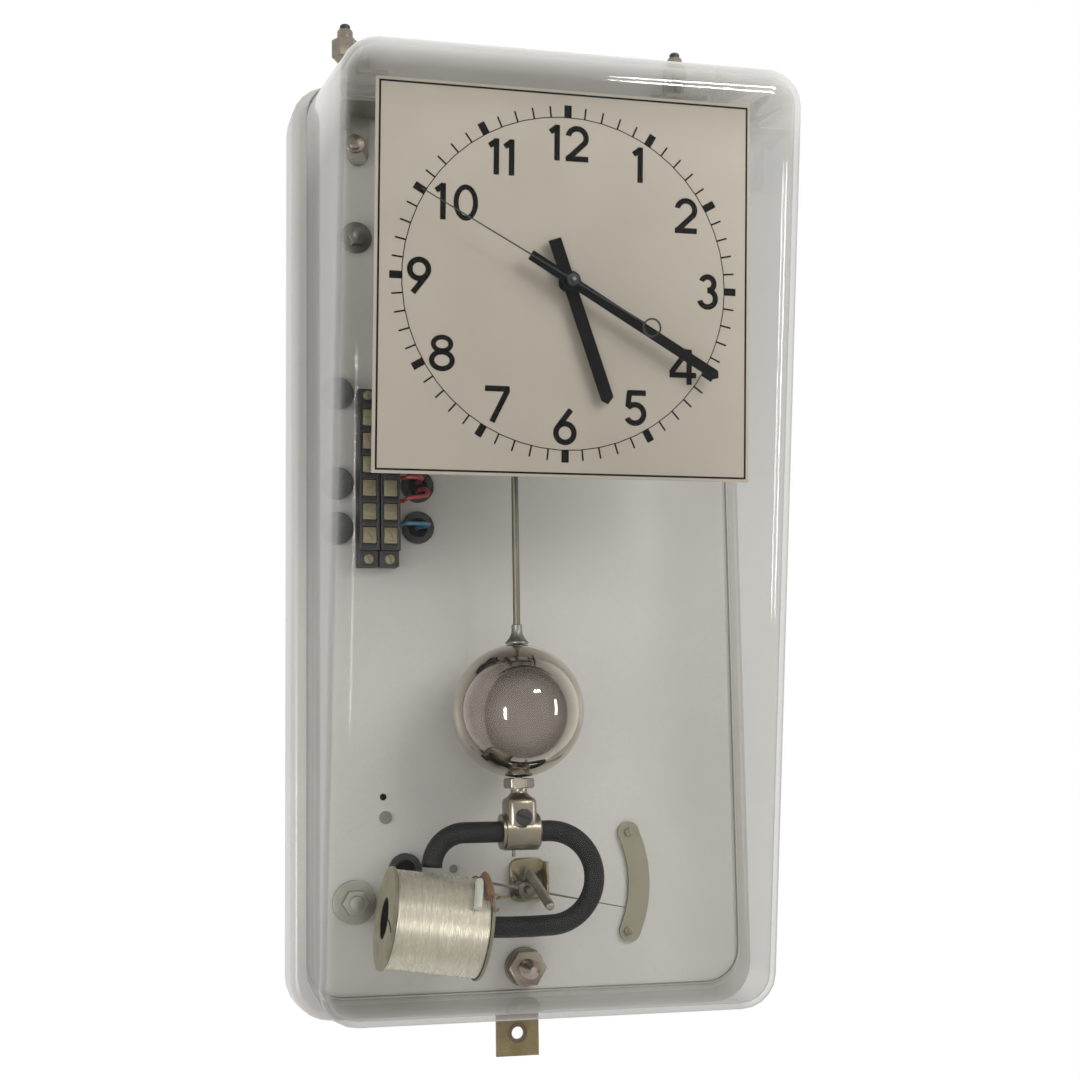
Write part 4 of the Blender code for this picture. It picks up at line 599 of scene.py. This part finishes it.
def print_dial():
    """Border, minute circle, marks and numerals, raised by the thickness of the ink."""
    shape = bmesh.new()
    here = Matrix.Identity(4)
    for turn in range(4):
        side = Matrix.Rotation(QUARTER * turn, 4, "Z")
        print_bar(shape, (-BORDER - 0.5, BORDER), (BORDER + 0.5, BORDER), 1.0, side)
    print_arc(shape, (0, 0), MINUTE_CIRCLE, 0, 360, 0.5, here)
    for minute in range(60):
        turn = Matrix.Rotation(-TURN * minute / 60, 4, "Z")
        reach, width = MINUTE_MARK if minute % 5 else HOUR_MARK
        print_bar(shape, (0, MARK_FOOT), (0, reach), width, turn)
    for hour, (x, y) in HOUR_PLACES.items():
        steps = DIGIT_STEPS.get(hour, (0,))
        for figure, step in zip(str(hour), steps):
            print_figure(shape, figure, Matrix.Translation((x + step, y, 0)))
    bmesh.ops.scale(shape, vec=(MM, MM, MM), verts=shape.verts)
    piece("dial_print", shape, DIAL_INK, place=DIAL_FRAME, smooth=30)


# Coil

WINDING_LOOPS = 104
WINDING_STEPS = 48
WINDING_RADIUS = 25.4 * MM
WINDING_LENGTH = 48.2 * MM


def coil_frame():
    """The coil's own frame, with Z along its axis towards the right."""
    return Matrix.Translation(COIL_CENTRE) @ Matrix.Rotation(COIL_TILT, 4, "Y") @ Matrix.Rotation(QUARTER, 4, "Y")


def on_coil(axial, degrees, radius):
    """A point round the coil in millimetres: along its axis, and up from its front."""
    angle = math.radians(degrees)
    return coil_frame() @ (Vector((-math.sin(angle) * radius, -math.cos(angle) * radius, axial)) * MM) / MM


def wind_coil():
    """The visible layer of fine wire, one unbroken tube from flange to flange, over its core and its bobbin, with
    black painted shade in its bore and along its flanges.
    """
    pitch = WINDING_LENGTH / WINDING_LOOPS
    wire = pitch * 0.54
    reach = WINDING_RADIUS - wire
    path = []
    for i in range(WINDING_LOOPS * WINDING_STEPS + 1):
        angle = TURN * i / WINDING_STEPS
        path.append((reach * math.cos(angle), reach * math.sin(angle),
                     pitch * i / WINDING_STEPS - WINDING_LENGTH / 2))
    shape, core, bobbin, shade = bmesh.new(), bmesh.new(), bmesh.new(), bmesh.new()
    sweep(shape, path, wire, 6)
    piece("fine_winding", shape, WINDING, place=coil_frame(), smooth=60,
          replaces=("coil_winding",))
    turned(core, mm((12.5, 24.1), (24.4, 24.1), (24.4, -24.1), (12.5, -24.1)), 96, coil_frame())
    piece("winding_core", core, WINDING, replaces=("coil_core",))
    end, inner, rim, bore, edge = 26.1, 24.4, 26.6, 10.7, 0.4
    turned(bobbin, mm((bore, end), (rim - edge, end), (rim, end - edge), (rim, inner), (12.2, inner),
                      (12.2, -inner), (rim, -inner), (rim, edge - end), (rim - edge, -end), (bore, -end)),
           96, coil_frame())
    piece("bobbin_turned", bobbin, PAXOLIN, replaces=("coil_bobbin",))
    # Painted shade: a black lining in the bore, black rings in the corners between winding and flanges, and a
    # black line across the left flange
    lining, reach = bore - 0.12, end - edge
    turned(shade, mm((lining, reach), (bore, reach), (bore, -reach), (lining, -reach)), 96, coil_frame())
    for low, high in ((24.0, 24.36), (-24.36, -24.0)):
        turned(shade, mm((25.1, low), (25.9, low), (25.9, high), (25.1, high)), 96, coil_frame())
    sweep(shade, route([on_coil(-26.2, 2, 11), on_coil(-26.3, -4, 18), on_coil(-26.2, -12, 25.4)]), 0.3 * MM, 10)
    piece("coil_painted_shade", shade, PAINTED_SHADE)


# Small things on the panel and the pendulum

def facing(x, z, y=PANEL_FRONT, turn=0.0):
    """A place on the panel whose local Z comes towards the reader, from millimetres."""
    return (Matrix.Translation((x * MM, y, z * MM)) @ Matrix.Rotation(QUARTER, 4, "X")
            @ Matrix.Rotation(math.radians(turn), 4, "Z"))


def cut_off(shape, spot, away):
    """Cut a form by a plane, drop what lies beyond it and close the cut."""
    bmesh.ops.bisect_plane(shape, geom=shape.verts[:] + shape.edges[:] + shape.faces[:], plane_co=spot,
                           plane_no=away, clear_outer=True)
    bmesh.ops.holes_fill(shape, edges=[e for e in shape.edges if e.is_boundary])


def slotted_screw(shape, place, radius, height):
    """A cheese-head screw: two half heads leave a driver slot over a sunk floor."""
    disc(shape, radius * 0.97, 0, height * 0.55, 24, place)
    for side in (-1, 1):
        half = bmesh.new()
        disc(half, radius, height * 0.3, height, 28, bevel=height * 0.2)
        cut_off(half, (side * radius * DRIVER_SLOT / 2, 0, 0), (-side, 0, 0))
        bmesh.ops.transform(half, matrix=place, verts=half.verts)
        join(shape, half)


def join(shape, other):
    """Copy a bmesh into another and free it."""
    mesh = bpy.data.meshes.new("joined")
    other.to_mesh(mesh)
    other.free()
    shape.from_mesh(mesh)
    bpy.data.meshes.remove(mesh)


def dress_strips():
    """Moulded strips with six clamp blocks between two fixing screws: base, rails, bars, blocks and screws."""
    pitch = 12.87
    blocks, screws = bmesh.new(), bmesh.new()
    for word, x in (("left", -88.8), ("right", -77.3)):
        body = bmesh.new()
        block(body, (10.7 * MM, 97.3 * MM, 10.4 * MM), (0, 0, 5.2 * MM), 0.4 * MM, facing(x, 29.45, PANEL_SEAT))
        for side in (-4.55, 4.55):
            block(body, (1.5 * MM, 80.8 * MM, 15.5 * MM), (side * MM, 0, 7.8 * MM), 0.3 * MM,
                  facing(x, 29.3, PANEL_SEAT))
        for bar in range(7):
            block(body, (10.3 * MM, 3.5 * MM, 15.3 * MM), (0, 0, 7.7 * MM), 0.3 * MM,
                  facing(x, -9.35 + pitch * bar, PANEL_SEAT))
        piece("strip_body_" + word, body, BAKELITE, replaces=("terminal_strip_" + word,))
        for cell in range(6):
            z = -2.9 + pitch * cell
            block(blocks, (7.4 * MM, 8.9 * MM, 4.9 * MM), (0, 0, 2.35 * MM), 0.5 * MM, facing(x, z, -40.7 * MM))
            slotted_screw(screws, facing(x, z, -45.3 * MM, 30 + 47 * cell), 3.1 * MM, 1.1 * MM)
        for z in (-15.4, 74.3):
            slotted_screw(screws, facing(x, z, -40.6 * MM, 20), 2.6 * MM, 1.6 * MM)
    piece("terminal_blocks", blocks, TINNED_BRASS)
    piece("terminal_screws", screws, TINNED_BRASS)


def hexagon(shape, flats, low, high, place, chamfer):
    """Add a hexagon whose top edges are rounded, by its size across flats."""
    corner = flats / 2 / math.cos(math.pi / 6)
    disc(shape, corner, low, high, 6, place @ Matrix.Rotation(math.radians(30), 4, "Z"), chamfer)


def threaded(shape, radius, low, high, pitch, place, tip=0.0):
    """A threaded end: ridges one above the other and a chamfered or pointed tip."""
    profile = [(0, low)]
    height = low
    while height + pitch < high - tip:
        profile += [(radius * 0.9, height), (radius, height + pitch / 2)]
        height += pitch
    profile += [(radius * 0.9, height), (radius * 0.9, high - tip), (radius * 0.35, high), (0, high)]
    turned(shape, profile, 40, place)


def nut_and_washer(name, x, z, washer, flats, height, stud, replaces, look=STEEL):
    """Rounded washer, chamfered nut and threaded stud end on the panel."""
    thick, stand = 1.6, 3
    shape = bmesh.new()
    spot = facing(x, z, PANEL_SEAT)
    disc(shape, washer * MM, 0, thick * MM, 64, spot, 0.4 * MM)
    hexagon(shape, flats * MM, thick * MM, (thick + height) * MM, spot, 0.5 * MM)
    threaded(shape, stud * MM, 1 * MM, (thick + height + stand) * MM, 0.8 * MM, spot, 0.5 * MM)
    piece(name, shape, look, replaces=replaces)


def dress_nuts():
    """The two panel fixings on the left, and the long bolt with its nut."""
    nut_and_washer("upper_nut_detail", -93.5, 165.5, 8.8, 9.7, 5, 3, ("upper_panel_nut",))
    nut_and_washer("lower_nut_detail", -95.4, -197.9, 11.7, 12.6, 6.5, 4, ("lower_panel_nut",), ZINC)
    bolt, nut = bmesh.new(), bmesh.new()
    threaded(bolt, 5 * MM, 1.9 * MM, 52 * MM, 1.25 * MM, facing(-3, -235, 0), 3 * MM)
    piece("long_bolt", bolt, COPPERED, replaces=("tab_bolt",))
    spot = facing(-3, -235, PANEL_SEAT)
    turned(nut, mm((5.3, 0), (10.7, 0), (10.7, 1.1), (10.3, 1.5), (5.3, 1.5)), 64, spot)
    hexagon(nut, 18.5 * MM, 1.5 * MM, 9 * MM, spot, 0.9 * MM)
    piece("long_bolt_nut", nut, SATIN_NICKEL, replaces=("tab_nut",))


def dress_holes():
    """Plugs, black discs of painted shade in holes, and the small screws of the scale and the regulator's
    bracket.
    """
    plugs, holes, screws = bmesh.new(), bmesh.new(), bmesh.new()
    disc(plugs, 3.4 * MM, 0, 0.9 * MM, 40, facing(-78.3, -153.6), 0.4 * MM)
    disc(plugs, 2.2 * MM, 0, 0.6 * MM, 32, facing(-41.4, -181.7), 0.3 * MM)
    # Painted shade: black discs in the small hole and behind the panel's three large holes
    disc(holes, 1.8 * MM, 0, 0.15 * MM, 32, facing(-79.6, -142.7))
    for x, z in ((-59.8, 26.3), (-59.8, 3.5), (-67.9, -181.6)):
        disc(holes, 7.6 * MM, 0, 0.4 * MM, 40, facing(x, z, -28.1 * MM))
    for x, z in ((57.4, -164.3), (56.0, -218.0)):
        slotted_screw(screws, facing(x, z, SCALE_FRONT, 25), 2.3 * MM, 1.0 * MM)
    for x, z, turn in ((-8.9, -188.6, 10), (2.6, -186.6, 60), (-8.7, -198.2, 120)):
        slotted_screw(screws, facing(x, z, -33.2 * MM, turn), 1.5 * MM, 1.1 * MM)
    piece("panel_plugs", plugs, GREY_PLUG_AND_SEAT_SHADE)
    piece("painted_hole_shade", holes, PAINTED_SHADE)
    piece("scale_screws", screws, SATIN_NICKEL)


def dress_scale():
    """The round-ended arc of the rate scale with its marks, and the flange of the regulator's bracket."""
    plate, marks, flange = bmesh.new(), bmesh.new(), bmesh.new()
    width, thick = 12, 1.6
    lift = Matrix.Diagonal((MM, MM, thick * MM / (PRINT_HIGH - PRINT_LOW), 1))
    sheet = facing(*SCALE_CENTRE, PANEL_SEAT) @ lift @ Matrix.Translation((0, 0, -PRINT_LOW))
    print_arc(plate, (0, 0), SCALE_RADIUS, -SCALE_REACH, SCALE_REACH, width, sheet)
    for turn in (-SCALE_REACH, SCALE_REACH):
        end = Matrix.Rotation(math.radians(turn), 4, "Z") @ Matrix.Translation((SCALE_RADIUS, 0, 0))
        disc(plate, width / 2, PRINT_LOW, PRINT_HIGH - 0.001, 48, sheet @ end)
    piece("scale_strip", plate, IVORY, replaces=("scale_plate",))
    for i in range(-5, 6):
        block(marks, (2.6 * MM, 0.3 * MM, 0.06 * MM), ((SCALE_RADIUS - 3.4) * MM, 0, 0.01 * MM),
              place=facing(*SCALE_CENTRE, SCALE_FRONT, 3.2 * i))
    piece("scale_marks", marks, SCALE_INK)
    block(flange, (1.4 * MM, 8 * MM, 20 * MM), (8.3 * MM, -37.4 * MM, -188.8 * MM), 0.5 * MM)
    piece("bracket_flange", flange, BRASS)


def dress_straps():
    """Washers and screws that hold the cover's two brackets."""
    washers, heads = bmesh.new(), bmesh.new()
    for x in (-94.2, 94.2):
        disc(washers, 5.4 * MM, 0, 0.8 * MM, 48, facing(x, 219, -32.3 * MM), 0.3 * MM)
        slotted_screw(heads, facing(x, 219, -33.1 * MM, 35), 3.6 * MM, 1.8 * MM)
    piece("strap_washers", washers, SATIN_NICKEL)
    piece("strap_screws", heads, COPPERED)


def coil_sleeve(shape, points, radius, sides):
    """Add a sleeve or a tail beside the coil, along (axial, degrees, radius) points."""
    sweep(shape, route([on_coil(*point) for point in points]), radius * MM, sides)


def dress_sleeves():
    """The white and the brown sleeve in front of the winding, with their bare tails."""
    white, brown, tails = bmesh.new(), bmesh.new(), bmesh.new()
    coil_sleeve(white, [(18.2, 61, 27.7), (17.5, 49, 27.7), (16.8, 36, 27.7), (16.2, 24, 27.7)], 2.1, 28)
    coil_sleeve(brown, [(22.6, 80, 27.9), (22.6, 66, 27.9), (22.7, 52, 27.9), (22.9, 38, 27.9)], 2.0, 28)
    for tail in ([(18.2, 58, 27.7), (18.3, 74, 27.2), (18.4, 92, 26), (18.4, 118, 26)],
                 [(22.6, 76, 27.9), (22.4, 90, 27), (22.2, 102, 26), (22.2, 122, 26)],
                 [(22.9, 42, 27.9), (23.6, 30, 27.8), (26.5, 24, 27.4), (28, 30, 24)]):
        coil_sleeve(tails, tail, 0.45, 10)
    piece("white_sleeve", white, WHITE_SLEEVE)
    piece("brown_sleeve", brown, BROWN_LEAD)
    piece("sleeve_tails", tails, BROWN_LEAD)


def dress_edges():
    """The darker brown ring round the tab's hole, and a thin grey line of painted shade along the cover's seat.
    """
    ring, seat_shade = bmesh.new(), bmesh.new()
    turned(ring, mm((3.4, 0), (5.4, 0), (5.2, 0.25), (3.4, 0.25)), 48, facing(-0.5, -273.5, -3.9 * MM))
    piece("tab_hole_ring", ring, BROWN_RING)
    left, right, foot, head = COVER_REAR
    path = []
    for x, z, start in ((right, head, 0), (left, head, 90), (left, foot, 180), (right, foot, 270)):
        middle = (x - math.copysign(COVER_CORNER + 0.6, x), z - math.copysign(COVER_CORNER + 0.6, z))
        for step in range(9):
            angle = math.radians(start + 90 * step / 8)
            path.append(Vector((middle[0] + COVER_CORNER * math.cos(angle), -30.45,
                                middle[1] + COVER_CORNER * math.sin(angle))) * MM)
    # Painted shade: a grey cord in the gap where the cover meets the panel, drawn as the shaded seam
    sweep(seat_shade, path + path[:2], 0.35 * MM, 8)
    piece("cover_seat_shade_line", seat_shade, GREY_PLUG_AND_SEAT_SHADE)


def round_straps():
    """Copies of the top brackets whose feet are rounded by planes cut round the screw."""
    for word, x in (("left", -92.6), ("right", 92.6)):
        name = "top_bracket_" + word
        shape = bmesh.new()
        shape.from_mesh(nodes[name].data)
        bmesh.ops.remove_doubles(shape, verts=shape.verts, dist=WELD)
        for degrees in (-75, -60, -45, -30, -15, 15, 30, 45, 60, 75):
            away = Vector((math.sin(math.radians(degrees)), 0, -math.cos(math.radians(degrees))))
            cut_off(shape, Vector((x, 0, 213.1)) * MM + away * 6.1 * MM, away)
        piece("rounded_" + name, shape, ZINC, replaces=(name,))


def dress_studs():
    """Chamfered hexagon studs on the cover's top, with their black tips."""
    for word, x in (("left", -100.5), ("right", 93.4)):
        shape, tip = bmesh.new(), bmesh.new()
        spot = Matrix.Translation((x * MM, -38 * MM, 251.3 * MM))
        hexagon(shape, 12.8 * MM, 14.5 * MM, 25 * MM, spot, 0.8 * MM)
        turned(shape, mm((0, 0), (3.4, 0), (3.4, 11.8), (4, 11.8), (6.5, 14.6), (0, 14.6)), 48, spot)
        turned(shape, mm((0, 24), (4.4, 24), (4.4, 29.6), (3.9, 30.6), (0, 30.6)), 48, spot)
        threaded(shape, 2.5 * MM, -26 * MM, 0.5 * MM, 0.8 * MM, spot)
        piece("stud_" + word, shape, SATIN_NICKEL, replaces=("cover_screw_" + word,))
        turned(tip, mm((0, 30.6), (2.9, 30.6), (2.9, 33.1), (2.2, 33.9), (0, 33.9)), 40, spot)
        piece("stud_tip_" + word, tip, BAKELITE)


def dress_ball(place):
    """The polished ball and the flared neck that stands on it."""
    ball, neck = bmesh.new(), bmesh.new()
    start = math.asin(ROD_HOLE / BALL_RADIUS)
    steps = 60
    profile = []
    for i in range(steps + 1):
        angle = start + (math.pi - 2 * start) * i / steps
        profile.append((BALL_RADIUS * math.sin(angle), BALL_Z + BALL_RADIUS * math.cos(angle)))
    turned(ball, profile, 128, place)
    piece("polished_ball", ball, MIRROR_NICKEL, "pendulum", smooth=50,
          replaces=("pendulum_ball",))
    foot, top = (corner[2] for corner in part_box("ball_neck"))
    flare = [(ROD_HOLE, top), (2.5 * MM, top), (2.8 * MM, top - 0.4 * MM)]
    for i in range(9):
        share = i / 8
        flare.append(((2.8 + 3.4 * share ** 2) * MM, top + (foot + 1.2 * MM - top) * (0.3 + 0.7 * share)))
    flare += [(6.2 * MM, foot + 0.6 * MM), (ROD_HOLE, foot + 0.9 * MM)]
    turned(neck, flare, 64, place)
    piece("flared_neck", neck, STEEL, "pendulum", replaces=("ball_neck",))


def dress_rating_nut(place):
    """The rating nut: a turned ring whose sides are pressed in to six flats."""
    nut = bmesh.new()
    half_flats = 7.05 * MM
    foot, top = (corner[2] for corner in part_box("rating_nut"))
    turned(nut, [(ROD_HOLE, top), (7.2 * MM, top), (7.9 * MM, top - 0.5 * MM), (8.1 * MM, top - 1.2 * MM),
                 (8.1 * MM, foot + 1.2 * MM), (7.9 * MM, foot + 0.5 * MM), (7.2 * MM, foot), (ROD_HOLE, foot)],
           120, place)
    for vert in nut.verts:
        flat = Vector((vert.co.x - PENDULUM.x, vert.co.y - PENDULUM.y))
        off = (math.atan2(flat.y, flat.x) - math.radians(225)) % (TURN / 6) - TURN / 12
        short = min(1, half_flats / math.cos(off) / flat.length)
        vert.co.x, vert.co.y = PENDULUM.x + flat.x * short, PENDULUM.y + flat.y * short
    piece("hexagon_rating_nut", nut, SATIN_NICKEL, "rating_nut", replaces=("rating_nut",))


def dress_clamp(place):
    """The clamp round the magnet: block, split collar, stem under the rating nut, pin and screw."""
    clamp, screw = bmesh.new(), bmesh.new()
    block(clamp, (15.6 * MM, 18.5 * MM, 17.9 * MM), (PENDULUM.x, PENDULUM.y, -152.4 * MM), 3.2 * MM)
    along = Matrix.Translation((PENDULUM.x, PENDULUM.y, MAGNET_Z)) @ Matrix.Rotation(QUARTER, 4, "Y")
    turned(clamp, mm((5.7, 10.2), (8.8, 10.2), (9.7, 9.3), (9.7, -8.4), (8.6, -8.6), (8.6, -9.2), (9.2, -9.4),
                     (9.2, -10.2), (5.7, -10.2)), 72, along)
    turned(clamp, mm((0, -150), (6.8, -150), (6.8, -143.9), (4.7, -141.6), (4.4, -141), (4.4, -139.4),
                     (0, -139.4)), 56, place)
    turned(clamp, mm((0, -174.4), (0.7, -174.4), (0.9, -174.1), (0.9, -168), (0, -168)), 20,
           place @ Matrix.Translation((-3.3 * MM, 0, 0)))
    piece("clamp_body", clamp, SATIN_NICKEL, "pendulum", replaces=("magnet_clamp",))
    slotted_screw(screw, facing(-14, -153.9, -78.5 * MM, 70), 4.4 * MM, 2.3 * MM)
    piece("clamp_screw_head", screw, BAKELITE, "pendulum", replaces=("clamp_screw",))


def dress_pendulum():
    """Ball, neck, rating nut and clamp, turned more finely than the CAD solids, and smooth copies of the magnet
    and the rod.
    """
    place = Matrix.Translation(PENDULUM)
    dress_ball(place)
    dress_rating_nut(place)
    dress_clamp(place)
    skin("magnet", 50)
    skin("pendulum_rod")


# CAD nodes that are shown as smooth copies
SKINS = ("rear_tray", "clear_cover", "cable_grommet_1", "cable_grommet_2", "cable_grommet_3", "wire_bush_upper",
         "wire_bush_lower", "lead_bush", "red_wire_upper", "red_wire_lower", "blue_wire", "coil_lead",
         "regulator_handle", "regulator_needle", "regulator_bracket", "minute_hand", "hour_hand",
         "seconds_hand")


def dress_hands():
    """The turned collet that holds the hands, with a bright brass centre."""
    centre, collet = bmesh.new(), bmesh.new()
    turned(centre, mm((0, 15.4), (0.7, 15.4), (1.1, 15.0), (1.1, 12.7), (0, 12.7)), 32, DIAL_FRAME)
    piece("hand_centre", centre, BRASS, "seconds_train")
    turned(collet, mm((0, 13.1), (2.3, 13.1), (2.6, 12.8), (2.6, 12.55), (0, 12.55)), 40, DIAL_FRAME)
    piece("hand_collet", collet, HAND_LACQUER, "seconds_train")


def paint_room():
    """A room that looks white and lights the object at a plain level."""
    scene = bpy.context.scene
    scene.view_settings.view_transform = "Standard"
    scene.world = bpy.data.worlds.new("pale_room")
    scene.world.use_nodes = True
    tree = scene.world.node_tree
    tree.nodes.clear()
    room = node(tree, "ShaderNodeBackground", {"Color": linear("FFFFFF"), "Strength": ROOM_LIGHT})
    white = node(tree, "ShaderNodeBackground", {"Color": linear("FFFFFF"), "Strength": 1.0})
    both = node(tree, "ShaderNodeMixShader", {0: seen_by_eye(tree), 1: room.outputs[0], 2: white.outputs[0]})
    node(tree, "ShaderNodeOutputWorld", {"Surface": both.outputs[0]})


def hang_lamps():
    """The lamps of LAMPS, each turned to the clock's middle."""
    for name, place, size, power, streak in LAMPS:
        lamp = bpy.data.lights.new(name, "AREA")
        lamp.shape = "RECTANGLE"
        lamp.size, lamp.size_y = size
        lamp.energy = power
        made = bpy.data.objects.new(name, lamp)
        made.location = place
        made.rotation_euler = (Vector((0, 0, 0)) - Vector(place)).to_track_quat("-Z", "Y").to_euler()
        made.visible_camera = False
        made.visible_diffuse = not streak
        made.visible_glossy = streak
        bpy.context.scene.collection.objects.link(made)


def lay_floor():
    """A plain pale floor, white to the eye, that keeps the clock's shadow."""
    ground = bmesh.new()
    bmesh.ops.create_grid(ground, x_segments=1, y_segments=1, size=FLOOR_REACH)
    bmesh.ops.translate(ground, vec=(0, 0, FLOOR_Z), verts=ground.verts)
    mesh = bpy.data.meshes.new("floor")
    ground.to_mesh(mesh)
    ground.free()
    look, tree, output = empty_material("pale_floor")
    share = node(tree, "ShaderNodeMath", {0: seen_by_eye(tree), 1: FLOOR_GLOW_SHARE}, operation="MULTIPLY")
    matt = node(tree, "ShaderNodeBsdfDiffuse", {"Color": linear("F2F2F0")})
    glow = node(tree, "ShaderNodeEmission", {"Color": linear("FFFFFF"), "Strength": FLOOR_GLOW})
    both = node(tree, "ShaderNodeMixShader", {0: share.outputs[0], 1: matt.outputs[0], 2: glow.outputs[0]})
    tree.links.new(both.outputs[0], output.inputs[0])
    mesh.materials.append(look)
    floor = bpy.data.objects.new("floor", mesh)
    bpy.context.scene.collection.objects.link(floor)


place_camera()
dress_nodes()
print_dial()
wind_coil()
dress_strips()
dress_nuts()
dress_holes()
dress_scale()
dress_straps()
dress_sleeves()
dress_edges()
dress_hands()
dress_studs()
dress_pendulum()
round_straps()
for skinned in SKINS:
    skin(skinned)
paint_room()
hang_lamps()
lay_floor()
